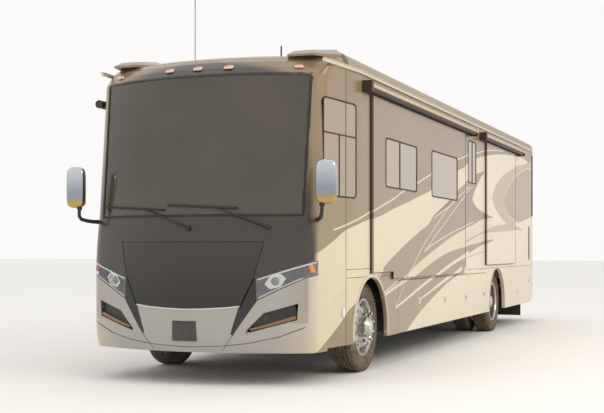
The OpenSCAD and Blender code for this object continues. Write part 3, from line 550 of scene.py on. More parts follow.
def make_materials():
    colours = bpy.context.scene.coach_colours
    bands = band_group()
    wear_group()
    banded = lambda t: place_group(t, bands).outputs[0]
    bronze = tuple(colours.bronze) + (1,)
    silver = tuple(colours.silver) + (1,)

    def front_blend(t):
        g = Graph(t)
        edge = g.math("ADD", g.y, g.math("MULTIPLY", g.noise(g.vector, 3.0), .01))
        roof = g.mix(g.ramp(g.z, 3.02, 3.10), bronze, rgb(88, 80, 70))
        return g.mix(g.ramp(edge, .36 - HALF_LENGTH, .44 - HALF_LENGTH), roof, banded(t))

    # Bumper: grey at the front, blending into the side bands further back. The grey front is painted shade;
    # the bumper's own paint is the same light silver-cream as the sides.
    def bumper_blend(t):
        g = Graph(t)
        return g.mix(g.ramp(g.y, .18 - HALF_LENGTH, .46 - HALF_LENGTH), silver, banded(t))

    def hood_blend(t):
        g = Graph(t)
        return g.mix(g.ramp(g.z, .75, 1.36), rgb(17, 12, 9), tuple(c * .8 for c in bronze[:3]) + (1.0,))

    def mirror_shade(t):
        g = Graph(t)
        # Chrome darker below and lighter above is a painted reflection of the ground and the sky. Below 1.80
        # m there is a gold band.
        chrome_painted_reflection = g.mix(g.ramp(g.z, 1.85, 2.1), rgb(150, 158, 168), rgb(206, 210, 214))
        return g.mix(g.ramp(g.z, 1.755, 1.80), rgb(188, 164, 102), chrome_painted_reflection)

    def topper_shade(t):
        """Dark cover on the rollers with a pale top, which is partly the roller's own cream and partly
        painted light falling on the top; the front brackets stay dark.
        """
        g = Graph(t)
        dark, light = rgb(54, 39, 26), rgb(192, 174, 144)
        s = g.math("ADD", g.y, HALF_LENGTH)
        near = [g.math("COMPARE", s, station) for station in (1.473, 6.901)]
        for socket in near:
            socket.node.inputs[2].default_value = BRACKET_HALF
        bracket = g.math("ADD", *near)
        # Pale above z 2.94 (painted light on the top of the roller), except on the front brackets.
        lit_top_mask = g.math("MULTIPLY", g.ramp(g.z, 2.936, 2.941), g.math("SUBTRACT", 1.0, bracket, True))
        return g.mix(lit_top_mask, dark, light)

    def tyre_mark(t):
        g = Graph(t)
        return g.mix(g.ramp(g.noise(g.vector, 9.0), .35, .7), rgb(56, 47, 37), rgb(100, 84, 63))

    recipes = {
        "coach_paint": dict(colour=banded, rough=.30, coat=.3, grain=40, bump=.006, dust=.14),
        "front_paint": dict(colour=front_blend, rough=.28, metal=.1, coat=.4, dust=.05, grain=40, bump=.006),
        "bumper_paint": dict(colour=bumper_blend, rough=.28, metal=.25, coat=.7, dust=.12, grain=40,
                             bump=.006),
        "hood_paint": dict(colour=hood_blend, rough=.28, metal=.0, coat=.3, dust=.02, grain=40, bump=.005),
        "roof_skin": dict(colour=rgb(150, 137, 115), rough=.45, dust=.1, grain=220, bump=.04),
        "chrome": dict(colour=rgb(214, 214, 212), rough=.09, metal=1.0, dust=.03, grain=30, bump=.01),
        "mirror_chrome": dict(colour=mirror_shade, rough=.12, metal=1.0, dust=.02, grain=30, bump=.01),
        "wheel_metal": dict(colour=rgb(196, 192, 186), rough=.2, metal=1.0, dust=.35, grain=90, bump=.05),
        "black_rubber": dict(colour=rgb(34, 28, 22), rough=.62, grain=160, bump=.2),
        "black_plastic": dict(colour=rgb(30, 29, 28), rough=.4, grain=300, bump=.15),
        "mesh_panel": dict(colour=rgb(26, 25, 25), rough=.38, grain=260, bump=.6, distance=.003),
        "tyre_rubber": dict(colour=tyre_mark, rough=.78, dust=.5, grain=140, bump=.35, distance=.002),
        "underbody": dict(colour=rgb(38, 35, 32), rough=.7, metal=.3, dust=.6, grain=45, bump=.4,
                          distance=.003),
        "engine_iron": dict(colour=rgb(74, 72, 68), rough=.6, metal=.6, dust=.4, grain=30, bump=.5,
                            distance=.004),
        "bare_steel": dict(colour=rgb(120, 118, 114), rough=.4, metal=.9, dust=.3, grain=120, bump=.1),
        "floor_vinyl": dict(colour=rgb(126, 104, 78), rough=.5, dust=0, grain=20, bump=.1),
        "bay_lining": dict(colour=rgb(46, 45, 44), rough=.8, dust=.2, grain=200, bump=.4),
        "dash_plastic": dict(colour=rgb(86, 74, 62), rough=.6, dust=0, grain=380, bump=.3),
        "topper_cover": dict(colour=topper_shade, rough=.45, metal=.1, dust=.05, grain=240, bump=.05),
        "awning_case": dict(colour=rgb(62, 50, 38), rough=.45, metal=.2, dust=.05, grain=240, bump=.1),
        "cream_trim": dict(colour=rgb(205, 194, 170), rough=.35, coat=.3, grain=300, bump=.05),
        "amber_lens": dict(colour=rgb(222, 132, 30), rough=.16, coat=1.0, dust=0, grain=90, bump=.3,
                           distance=.002),
        "smoked_amber": dict(colour=rgb(128, 78, 40), rough=.2, coat=1.0, dust=0, grain=90, bump=.2,
                             distance=.002),
        "red_lens": dict(colour=rgb(150, 18, 14), rough=.16, coat=1.0, dust=0, grain=90, bump=.3,
                         distance=.002),
        "white_lens": dict(colour=rgb(225, 225, 220), rough=.12, coat=1.0, dust=0, grain=90, bump=.3,
                           distance=.002),
        "side_glass": dict(colour=rgb(150, 135, 110), rough=.1, coat=.6, dust=0, grain=3, bump=.02),
        "plate_blank": dict(colour=rgb(58, 55, 52), rough=.45, dust=.1, grain=200, bump=.1),
        "seat_leather": dict(colour=rgb(164, 142, 112), rough=.5, dust=0, grain=260, bump=.45,
                             distance=.002, sheen=.1),
    }
    make = {name: surface(name, **recipe) for name, recipe in recipes.items()}

    glasses = (
        ("screen_glass", 1.1, 3.0, (.3, .7), ((70, 64, 54), (88, 80, 66)), .74, None, .6),
        ("lamp_cover", 60.0, 4.0, (0.0, 1.0), ((205, 208, 210), (230, 232, 234)), .16, .03, .8),
        ("projector_glass", 40.0, 4.0, (0.0, 1.0), ((60, 66, 72), (120, 126, 130)), 1.0, .04, 1.0))
    for name, scale, detail, span, (dark, light), alpha, rough, coat in glasses:
        make[name], t, p = new_material(name)
        g = Graph(t)
        haze = g.noise(g.vector, scale, detail)
        t.links.new(g.mix(g.ramp(haze, *span), rgb(*dark), rgb(*light)), p.inputs["Base Color"])
        g.put(p.inputs["Roughness"], g.ramp(haze, .2, .8, .03, .06) if rough is None else rough)
        p.inputs["Alpha"].default_value = alpha
        p.inputs["Coat Weight"].default_value = coat
    return make


# ---- Geometry Nodes ----

def node_tree(name, inputs):
    tree = bpy.data.node_groups.new(name, "GeometryNodeTree")
    tree.interface.new_socket("Geometry", in_out="OUTPUT", socket_type="NodeSocketGeometry")
    for label, kind, value in inputs:
        socket = tree.interface.new_socket(label, in_out="INPUT", socket_type=kind)
        if kind != "NodeSocketMaterial":
            socket.default_value = value
    return tree, tree.nodes.new("NodeGroupInput"), tree.nodes.new("NodeGroupOutput")


def close_tree(tree, gin, gout, geometry):
    real = tree.nodes.new("GeometryNodeRealizeInstances")
    paint = tree.nodes.new("GeometryNodeSetMaterial")
    tree.links.new(geometry, real.inputs[0])
    tree.links.new(real.outputs[0], paint.inputs[0])
    tree.links.new(gin.outputs["Material"], paint.inputs["Material"])
    tree.links.new(paint.outputs[0], gout.inputs[0])


def ring_tree():
    """Items on a circle about X: wheel nuts and tread blocks."""
    tree, gin, gout = node_tree("items_on_a_ring", [
        ("Count", "NodeSocketInt", 10), ("Radius", "NodeSocketFloat", .17),
        ("Item radius", "NodeSocketFloat", .017), ("Item sides", "NodeSocketInt", 6),
        ("Item length", "NodeSocketFloat", .03), ("Lie", "NodeSocketVector", (0, 0, 0)),
        ("Centre", "NodeSocketVector", (0, 0, 0)), ("Material", "NodeSocketMaterial", None)])
    n, link = tree.nodes.new, tree.links.new
    circle = n("GeometryNodeMeshCircle")
    item = n("GeometryNodeMeshCone")
    turn = n("GeometryNodeTransform")
    spin = n("FunctionNodeAlignRotationToVector")
    inst = n("GeometryNodeInstanceOnPoints")
    place = n("GeometryNodeTransform")
    where = n("GeometryNodeInputPosition")
    shrink = n("ShaderNodeMath")
    shrink.operation = "MULTIPLY"
    shrink.inputs[1].default_value = .84
    link(gin.outputs["Item radius"], shrink.inputs[0])
    link(shrink.outputs[0], item.inputs["Radius Top"])
    link(item.outputs[0], turn.inputs[0])
    spin.axis = "X"
    spin.pivot_axis = "Z"
    link(where.outputs[0], spin.inputs["Vector"])
    link(circle.outputs[0], inst.inputs["Points"])
    link(turn.outputs[0], inst.inputs["Instance"])
    link(spin.outputs[0], inst.inputs["Rotation"])
    link(inst.outputs[0], place.inputs[0])
    place.inputs["Rotation"].default_value = (0, math.pi / 2, 0)
    for label, node, socket in (("Count", circle, "Vertices"), ("Radius", circle, "Radius"),
                                ("Item sides", item, "Vertices"), ("Item radius", item, "Radius Bottom"),
                                ("Item length", item, "Depth"), ("Lie", turn, "Rotation"),
                                ("Centre", place, "Translation")):
        link(gin.outputs[label], node.inputs[socket])
    close_tree(tree, gin, gout, place.outputs[0])
    return tree


def row_tree():
    """Boxes in a row: louvres and slats."""
    tree, gin, gout = node_tree("slats_in_a_row", [
        ("Count", "NodeSocketInt", 8), ("Step", "NodeSocketVector", (0, 0, .03)),
        ("Start", "NodeSocketVector", (0, 0, 0)),
        ("Size", "NodeSocketVector", (.1, .01, .01)), ("Tilt", "NodeSocketVector", (0, 0, 0)),
        ("Material", "NodeSocketMaterial", None)])
    n, link = tree.nodes.new, tree.links.new
    row = n("GeometryNodeMeshLine")
    row.mode = "OFFSET"
    slat = n("GeometryNodeMeshCube")
    inst = n("GeometryNodeInstanceOnPoints")
    for label, node, socket in (("Count", row, "Count"), ("Step", row, "Offset"),
                                ("Start", row, "Start Location"), ("Size", slat, "Size")):
        link(gin.outputs[label], node.inputs[socket])
    link(row.outputs[0], inst.inputs["Points"])
    link(slat.outputs[0], inst.inputs["Instance"])
    turn = n("FunctionNodeEulerToRotation")
    link(gin.outputs["Tilt"], turn.inputs[0])
    link(turn.outputs[0], inst.inputs["Rotation"])
    close_tree(tree, gin, gout, inst.outputs[0])
    return tree


def grow(name, tree_name, values, material, body="coach", bevel=0.0):
    """Runs a Geometry Nodes tree once and keeps its result as a plain mesh."""
    tree = bpy.data.node_groups[tree_name]
    seed = bpy.data.objects.new(name + "_seed", bpy.data.meshes.new(name + "_seed"))
    bpy.context.scene.collection.objects.link(seed)
    m = seed.modifiers.new("Repeat", "NODES")
    m.node_group = tree
    ids = {i.name: i.identifier for i in tree.interface.items_tree if i.in_out == "INPUT"}
    for key, value in values.items():
        m[ids[key]] = value
    m[ids["Material"]] = MATERIALS[material]
    bpy.context.view_layer.update()
    result = bpy.data.meshes.new_from_object(seed.evaluated_get(bpy.context.evaluated_depsgraph_get()))
    result.name = name
    seed.modifiers.remove(m)
    bpy.data.objects.remove(seed)
    if not result.polygons:
        raise RuntimeError(f"{name}: the node tree made nothing")
    return register_piece(name, result, material, body, bevel)


# ---- Panels, wall trim ----

def ring_points(s0, s1, z0, z1, r, steps=5):
    pts = []
    corners = ((s1 - r, z1 - r, 0), (s0 + r, z1 - r, 90), (s0 + r, z0 + r, 180), (s1 - r, z0 + r, 270))
    for cs, cz, a0 in corners:
        for k in range(steps + 1):
            a = math.radians(a0 + 90 * k / steps)
            pts.append((cs + r * math.cos(a), cz + r * math.sin(a)))
    return pts


def window_ring(shell, w, wall, width, out, inn, mirrored=False):
    """Raised gasket round a window w = (s0, s1, z0, z1)."""
    s0, s1, z0, z1 = w
    inner = ring_points(s0 + .004, s1 - .004, z0 + .004, z1 - .004, .041)
    outer = ring_points(s0 - width, s1 + width, z0 - width, z1 + width, .045 + width)
    rings = []
    for (a, b), (c, d) in zip(inner, outer):
        rings.append([side(a, b, inn, wall), side(a, b, out, wall),
                      side(c, d, out * .6, wall), side(c, d, inn, wall)])
    if mirrored:
        rings = [[Vector((-p.x, p.y, p.z)) for p in r] for r in rings]
    shell.loft(rings, closed=True)


def side_bar(shell, s0, s1, z0, z1, out0, out1, wall=HALF_WIDTH, mirrored=False):
    k = -1 if mirrored else 1
    rings = []
    stations = [s0] + ([1.3] if s0 < 1.3 < s1 else []) + [s1]
    for s in stations:
        ring = [side(s, z, out, wall) for z, out in ((z0, out0), (z0, out1), (z1, out1), (z1, out0))]
        rings.append([Vector((k * p.x, p.y, p.z)) for p in ring])
    shell.loft(rings)


def ribbon(shell, points, width, out0, out1, steps=8, closed=False):
    """Strip over the front's skin along (x, z) points."""
    pts = []
    pairs = list(zip(points, points[1:] + (points[:1] if closed else [])))
    for (a, b) in pairs[:len(points) if closed else len(points) - 1]:
        for k in range(steps):
            pts.append((a[0] + (b[0] - a[0]) * k / steps, a[1] + (b[1] - a[1]) * k / steps))
    if not closed:
        pts.append(points[-1])
    rings = []
    for i, p in enumerate(pts):
        q = pts[(i + 1) % len(pts)] if closed or i + 1 < len(pts) else p
        o = pts[i - 1] if closed or i else p
        t = Vector((q[0] - o[0], q[1] - o[1])).normalized()
        w = (width[0] + (width[1] - width[0]) * i / (len(pts) - 1) if isinstance(width, tuple) else width) / 2
        n = Vector((-t.y, t.x)) * w
        rings.append([skin(p[0] - n.x, p[1] - n.y, out0), skin(p[0] + n.x, p[1] + n.y, out0),
                      skin(p[0] + n.x, p[1] + n.y, out1), skin(p[0] - n.x, p[1] - n.y, out1)])
    shell.loft(rings, closed)


def plate(shell, outline, out0, out1):
    """Flat-topped piece with an (x, z) outline that follows the front's skin at its corners."""
    shell.loft([[skin(x, z, o) for x, z in outline] for o in (out0, out1)])


class PieceOperator(bpy.types.Operator):
    """Base of the operators that make pieces."""
    bl_options = {"REGISTER", "UNDO"}

    def execute(self, context):
        self.make(context.scene.coach_sizes)
        return {"FINISHED"}


class COACH_OT_materials(bpy.types.Operator):
    """Make the paints, glass, metals and plastics"""
    bl_idname = "coach.materials"
    bl_label = "Materials"

    def execute(self, context):
        MATERIALS.update(make_materials())
        ring_tree()
        row_tree()
        return {"FINISHED"}


class COACH_OT_body(PieceOperator, bpy.types.Operator):
    """Paint the shell, the slide-outs and the doors"""
    bl_idname = "coach.body"
    bl_label = "Body and paint"

    def make(self, sizes):
        for node in ("driver_side_wall", "passenger_side_wall", "side_skirts", "rear_cap", "rear_bumper"):
            smooth_copy(node, "coach_paint")
        for node in ("main_slide", "bedroom_slide", "entry_door", "engine_hatch") + tuple(
                f"bay_door_left_{i}" for i in range(1, 5)) + ("bay_door_right_1", "bay_door_right_2"):
            smooth_copy(node, "coach_paint", bevel=.003)
        for node, material in (("front_cap", "front_paint"), ("hood", "hood_paint"),
                               ("front_bumper", "bumper_paint"), ("roof", "roof_skin"),
                               ("windshield", "screen_glass"), ("grille_blades", "mesh_panel"),
                               ("headlights", "lamp_cover")):
            smooth_copy(node, material)
        dress("side_glass", "window_glass", "main_slide_glass", "entry_door_glass")


class COACH_OT_chassis(PieceOperator, bpy.types.Operator):
    """Finish the frame, the axles, the engine and the floor"""
    bl_idname = "coach.chassis"
    bl_label = "Chassis"

    def make(self, sizes):
        dress("underbody", "chassis_frame", "hitch_receiver", "seat_bases")
        smooth_copy("front_axle", "underbody")
        smooth_copy("rear_axle", "underbody")
        smooth_copy("knuckle_left", "bare_steel")
        smooth_copy("knuckle_right", "bare_steel")
        smooth_copy("engine_block", "engine_iron", bevel=.012)
        dress("floor_vinyl", "cabin_floor")
        dress("bay_lining", "storage_bays")
        dress("black_rubber", "rock_guard")


class COACH_OT_wheels(PieceOperator, bpy.types.Operator):
    """Build the tyres with their tread and the polished wheels"""
    bl_idname = "coach.wheels"
    bl_label = "Wheels"

    def tyre_profile(self, r, w, rim, x):
        """Rounded cross-section with four grooves; x is the outer face."""
        groove = []
        edge = w / 2 - .038
        for c in (-edge * .62, -edge * .21, edge * .21, edge * .62):
            groove += [(r - .001, c - .008), (r - .014, c - .005), (r - .014, c + .005), (r - .001, c + .008)]
        out = [(rim + .002, w / 2 - .026), (rim + .012, w / 2 - .018), (rim + .032, w / 2 - .008),
               (rim + .06, w / 2 - .001), (r * .77, w / 2), (r - .07, w / 2 - .004), (r - .045, w / 2 - .005),
               (r - .040, w / 2 - .010),
               (r - .018, w / 2 - .020), (r - .006, w / 2 - .030), (r - .001, w / 2 - .042)]
        pts = [(a, -b) for a, b in out] + groove + list(reversed(out))
        return [(a, b - w / 2 + x) for a, b in pts]

    def make(self, sizes):
        w = sizes.tyre_width
        for label, sign in (("left", 1), ("right", -1)):
            for place, s in (("front", 1.785), ("rear", 8.140)):
                twin = place == "rear"
                plural = "s" if twin else ""
                body = f"{label}_{place}_wheel{plural}"
                tyre = f"{place}_tire{plural}_{label}"
                rim = f"{place}_rim{plural}_{label}"
                lo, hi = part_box(tyre)
                outer = hi.x if sign > 0 else -lo.x
                r = (hi.z - lo.z) / 2
                centre = (lo.z + hi.z) / 2
                shell = Shell()
                for shift in (0, w + TWIN_GAP) if twin else (0,):
                    profile = [(a, sign * b) for a, b in self.tyre_profile(r, w, RIM_RADIUS, outer - shift)]
                    shell.lathe(profile, (0, s - HALF_LENGTH, centre), 96)
                finish(f"{tyre}_rubber", shell, "tyre_rubber", body, replaces=(tyre,),
                       angle=40)
                grow(f"{tyre}_tread", "items_on_a_ring", {
                    "Count": 60, "Radius": r - .0125, "Item radius": .0145, "Item sides": 4,
                    "Item length": .040, "Lie": (0, 0, math.pi / 4),
                    "Centre": (sign * (outer - .052), s - HALF_LENGTH, centre)}, "tyre_rubber", body)
                smooth_copy(rim, "wheel_metal")
                face = outer - .030 if twin else outer + .066
                disc = outer - .170 if twin else outer - .030
                grow(f"{rim}_nuts", "items_on_a_ring", {
                    "Count": 10, "Radius": .1675, "Item radius": .021, "Item sides": 6, "Item length": .052,
                    "Centre": (sign * (disc + .026), s - HALF_LENGTH, centre)}, "chrome", body, .002)
                cap = Shell()
                dome = ((0.0, .012), (.030, .011), (.058, .004), (.070, -.010), (.074, -.030), (0.0, -.030))
                cap.lathe([(radius, sign * (face + out)) for radius, out in dome],
                          (0, s - HALF_LENGTH, centre), 40)
                finish(f"{rim}_cap", cap, "chrome", body)


class COACH_OT_windows(PieceOperator, bpy.types.Operator):
    """Add the gaskets, frames and bars of the windows"""
    bl_idname = "coach.windows"
    bl_label = "Window frames"

    def make(self, sizes):
        gasket = sizes.gasket
        driver = (.54, 1.265, 1.80, 2.73)
        left = (6.156, 6.635, 2.233, 2.819)
        right = [(1.24, 1.64, 1.82, 2.42), (2.9, 4.3, 1.9, 2.6), (5.0, 6.2, 1.9, 2.6), (8.1, 8.9, 2.05, 2.65)]
        main = [(2.184, 3.405, 1.965, 2.485), (4.092, 5.405, 1.945, 2.505)]
        door = (.64, 1.08, 1.50, 2.42)
        shell = Shell()
        window_ring(shell, driver, HALF_WIDTH, gasket, .005, -.004)
        window_ring(shell, left, HALF_WIDTH, gasket, .006, -.004)
        for w in right:
            window_ring(shell, w, HALF_WIDTH, gasket, .006, -.004, True)
        finish("coach_window_gaskets", shell, "black_rubber", bevel=.0015)
        bars = Shell()
        side_bar(bars, .545, 1.26, 2.395, 2.407, -.004, .004)
        side_bar(bars, .875, .887, 1.805, 2.396, -.004, .004)
        side_bar(bars, 6.385, 6.41, 2.238, 2.814, -.004, .004)
        for s0, s1, z0, z1 in right:
            mid = (s0 + s1) / 2
            side_bar(bars, mid - .007, mid + .007, z0 + .005, z1 - .005, -.004, .004, mirrored=True)
        finish("coach_window_bars", bars, "black_rubber", bevel=.001)
        shell = Shell()
        bars = Shell()
        for w in main:
            window_ring(shell, w, SLIDE_FACE, gasket, .006, -.004)
        side_bar(bars, 2.703, 2.719, 1.97, 2.48, -.004, .005, SLIDE_FACE)
        finish("slide_window_gaskets", shell, "black_rubber", "main_slide_out", .0015)
        finish("slide_window_bars", bars, "black_rubber", "main_slide_out", .001)
        shell = Shell()
        window_ring(shell, door, HALF_WIDTH, gasket, .005, -.004, True)
        finish("door_window_gasket", shell, "black_rubber", "entry_door", .0015)
        shell = Shell()
        x0, z0, x1, z1 = 1.073, 1.603, 1.096, 2.949
        ribbon(shell, [(-x0, z0), (x0, z0), (x1, z1), (-x1, z1)], sizes.screen_gasket, -.006, .004, 24, True)
        finish("screen_gasket", shell, "black_rubber", bevel=.002)


class COACH_OT_trim(PieceOperator, bpy.types.Operator):
    """Add rails, seals, seams, arch lips, latches and handles"""
    bl_idname = "coach.trim"
    bl_label = "Side trim"

    def make(self, sizes):
        rails = Shell()
        for mirrored in (False, True):
            side_bar(rails, .524, 11.15, 3.062, 3.092, -.004, .022, mirrored=mirrored)
            side_bar(rails, .524, 11.15, 3.092, 3.100, -.004, .030, mirrored=mirrored)
        finish("gutter_rails", rails, "cream_trim", bevel=.003)
        seals = Shell()
        for (front, rear), z0 in ((MAIN_SLIDE, 1.03), (BEDROOM_SLIDE, 1.05)):
            for s in (front - .034, rear + .004):
                side_bar(seals, s, s + .030, z0, SLIDE_TOP, -.003, .014)
        side_bar(seals, 11.17, 11.29, 1.9, 3.0, -.004, .0015)
        for mirrored in (False, True):
            for s0, s1, z0, z1, out in ((1.027, 1.034, .345, 3.06, SEAM),
                                        (11.147, 11.154, .61, 3.06, SEAM),
                                        (1.04, 11.145, .997, 1.0015, SEAM),
                                        (1.036, 1.70, 1.081, 1.086, .001)):
                side_bar(seals, s0, s1, z0, z1, -.004, out, mirrored=mirrored)
        finish("slide_seals", seals, "black_rubber", bevel=.0004)
        for label, (s0, s1), z0 in (("main", MAIN_SLIDE, 1.036), ("bedroom", BEDROOM_SLIDE, 1.051)):
            bars = [(s0, s0 + .012, z0, SLIDE_TOP, -.003), (s1 - .016, s1, z0, SLIDE_TOP, -.003)]
            if label == "main":
                bars += [(s0 + .01, 2.468, z0 - .001, z0 + .004, -.003), (2.459, 2.4675, .957, 1.034, -.0175),
                         (2.468, s1, .9555, .9605, -.003)]
            else:
                bars.append((s0 + .01, s1, z0, z0 + .004, -.003))
            edges = Shell()
            for bar in bars:
                side_bar(edges, *bar, SEAM, SLIDE_FACE)
            finish(f"{label}_slide_edges", edges, "black_rubber", f"{label}_slide_out")
        for name, s, r, cz in (("front_arch_lips", 1.765, .545, .449), ("rear_arch_lips", 8.120, .565, .429)):
            lip = Shell()
            rings = []
            for k in range(49):
                a = math.radians(-9 + 198 * k / 48)
                ring = []
                for dr, out in ((.004, -.03), (-.003, .006), (.016, .011), (.034, .004), (.036, -.03)):
                    ps, pz = s + (r + dr) * math.cos(a), cz + (r + dr) * math.sin(a)
                    ring.append(side(ps, max(pz, .345), out))
                rings.append(ring)
            lip.loft(rings)
            finish(name, lip, "cream_trim", mirror=True)
        for label, body, mirrored, places in (
                ("bay_latch_left", "left_bay_door_", False,
                 ((3.60, .668), (4.85, .637), (6.01, .62), (7.17, .623))),
                ("bay_latch_right", "right_bay_door_", True, ((3.8, .64), (6.1, .64))),
                ("skirt_latch", "coach", False, ((9.82, .573), (10.90, .722)))):
            for i, (s, z) in enumerate(places, 1):
                self.latch(f"{label}_{i}", s, z, body + str(i) if body.endswith("_") else body, mirrored)
        pull = Shell()
        pull.tube([side(.60, z, out) for z, out in ((1.30, .004), (1.31, .035), (1.44, .035), (1.45, .004))],
                  .009)
        side_bar(pull, .585, .665, 1.17, 1.25, -.003, .010)
        for v in pull.verts:
            v.x = -v.x
        finish("entry_handle", pull, "chrome", "entry_door", .002)
        vent = Shell()
        side_bar(vent, 10.86, 10.94, 1.10, 1.70, -.003, .004)
        finish("side_vent_frame", vent, "black_plastic", bevel=.002)
        grow("side_vent_slats", "slats_in_a_row", {
            "Count": 20, "Step": (0, 0, .029), "Start": (HALF_WIDTH + .006, 10.90 - HALF_LENGTH, 1.125),
            "Size": (.006, .062, .012), "Tilt": (0, .5, 0)}, "black_plastic")

    def latch(self, name, s, z, body, mirrored):
        shell = Shell()
        side_bar(shell, s - .055, s + .055, z - .038, z + .038, -.003, .006, mirrored=mirrored)
        side_bar(shell, s - .030, s + .030, z - .018, z + .014, .006, .013, mirrored=mirrored)
        finish(name, shell, "chrome", body, .003)


class COACH_OT_front(PieceOperator, bpy.types.Operator):
    """Build the headlights, the fog lamps, the bumper strip and the blank plate"""
    bl_idname = "coach.front"
    bl_label = "Front end"

    def make(self, sizes):
        back = Shell()
        for k in (1, -1):
            ribbon(back, [(k * .712, .90), (k * 1.16, 1.105)], .10, -.041, -.036, 12)
        finish("lamp_housings", back, "black_plastic")
        rim, louvre, amber, bead, glass, bowl = (Shell() for _ in range(6))
        for k in (1, -1):
            c = (.862 * k, .984)
            hexa = [(c[0] + .082 * math.cos(a) * 1.05, c[1] + .062 * math.sin(a) + .026 * math.cos(a) * k)
                    for a in (math.radians(60 * i) for i in range(6))]
            ribbon(rim, hexa, .014, -.030, -.001, 2, True)
            plate(bowl, hexa, -.034, -.028)
            p = skin(c[0], c[1], -.024)
            ring = []
            n = (skin(c[0], c[1], 1) - skin(c[0], c[1], 0)).normalized()
            u = Vector((0, 0, 1)).cross(n).normalized()
            v = n.cross(u)
            for r, h in ((.0005, .020), (.016, .018), (.030, .012), (.038, 0.0), (.039, -.008)):
                ring.append([p + n * h + r * (math.cos(a) * u + math.sin(a) * v) for a in turn(24)])
            glass.loft(ring)
            for i in range(4):
                x = .985 + .036 * i
                ribbon(louvre, [(k * x, .99 + .25 * (x - .95)), (k * (x + .022), 1.055 + .30 * (x - .95))],
                       .011, -.034, -.006, 3)
            ribbon(amber, [(k * 1.150, 1.100), (k * 1.176, 1.106)], .075, -.034, .0005, 3)
            ribbon(bead, [(k * .705, 1.000), (k * 1.15, 1.146), (k * 1.19, 1.160)], .012, -.010, .001, 14)
            ribbon(bead, [(k * .712, .83), (k * .885, .918), (k * 1.10, 1.018)], .009, -.012, -.001, 12)
        finish("lamp_bezels", rim, "chrome", bevel=.001)
        finish("lamp_bowls", bowl, "chrome")
        finish("lamp_projectors", glass, "projector_glass")
        finish("lamp_louvres", louvre, "black_plastic", bevel=.001)
        finish("lamp_ambers", amber, "amber_lens", bevel=.002)
        finish("lamp_strips", bead, "chrome", bevel=.001)
        lip = Shell()
        curve = [(-.545, .752), (-.40, .736), (-.2, .724), (0, .718), (.2, .724), (.40, .736), (.545, .752)]
        ribbon(lip, curve, .013, -.012, .005, 6)
        finish("bumper_strip", lip, "chrome", bevel=.002)
        sheet = Shell()
        sheet.box((-.125, -HALF_LENGTH - .001, .42), (.125, -HALF_LENGTH + .012, .61))
        finish("blank_plate", sheet, "plate_blank", bevel=.003)
        creases = Shell()
        for k in (1, -1):
            ribbon(creases, [(k * .478, .484), (k * .366, .333)], .004, -.004, .0012, 8)
            smile = [(k * 1.12, .560), (k * .90, .470), (k * .62, .408), (k * .366, .378), (0, .362)]
            ribbon(creases, smile, .005, -.004, .0010, 8)
        finish("bumper_creases", creases, "black_rubber")
        scoop, slim = Shell(), Shell()
        for k in (1, -1):
            ribbon(scoop, [(k * .66, .603), (k * .80, .648), (k * 1.045, .712)], (.13, .125), -.044, -.030, 8)
            ribbon(slim, [(k * .640, .536), (k * .80, .577), (k * 1.040, .650)],
                   (.020, .034), -.030, -.006, 8)
        finish("fog_scoops", scoop, "black_plastic", bevel=.002)
        finish("fog_ambers", slim, "smoked_amber", replaces=("small_lamps",),
               bevel=.002)


class COACH_OT_lamps(PieceOperator, bpy.types.Operator):
    """Build the clearance, marker and tail lamps"""
    bl_idname = "coach.lamps"
    bl_label = "Small lamps"

    def make(self, sizes):
        base, lens = Shell(), Shell()
        for x in (-.972, -.318, 0, .318, .972):
            s = .300 + NOSE_BOW * x * x
            for shell, hx, hs, hz in ((base, .050, .036, .009), (lens, .043, .032, .0165)):
                rings = []
                for k, grow_by in ((-1, 1.0), (.2, 1.0), (.75, .8), (1.0, .45)):
                    outline = [(hx * grow_by * u, hs * grow_by * v) for u, v in rounded(20, .6)]
                    rings.append([(x + px, s + py - HALF_LENGTH + 2 * NOSE_BOW * x * px,
                                   3.03 + hz * k + .30 * py)
                                  for px, py in outline])
                shell.loft(rings)
        finish("clearance_bases", base, "chrome")
        finish("clearance_lenses", lens, "amber_lens")
        lens, ring = Shell(), Shell()
        for a, b, out0, out1, shell in ((.040, .062, -.003, .008, ring), (.028, .048, .004, .014, lens)):
            shell.loft([[side(.963 + a * math.cos(t), .665 + b * math.sin(t), o) for t in turn(28)]
                        for o in (out0, out1)])
        finish("marker_rims", ring, "chrome", bevel=.002, mirror=True)
        finish("marker_lenses", lens, "white_lens", bevel=.004, mirror=True)
        y = REAR_FACE
        for name, z0, z1, key in (("tail_red", 1.0, 1.255, "red_lens"),
                                  ("tail_amber", .852, .992, "amber_lens"),
                                  ("tail_white", .705, .844, "white_lens")):
            shell = Shell()
            shell.box((1.043, y - .004, z0), (1.137, y + .011, z1))
            finish(name, shell, key, bevel=.008, mirror=True)
        shell = Shell()
        shell.box((1.032, y - .004, .694), (1.148, y + .005, 1.266))
        finish("tail_bases", shell, "black_plastic", bevel=.003, mirror=True)


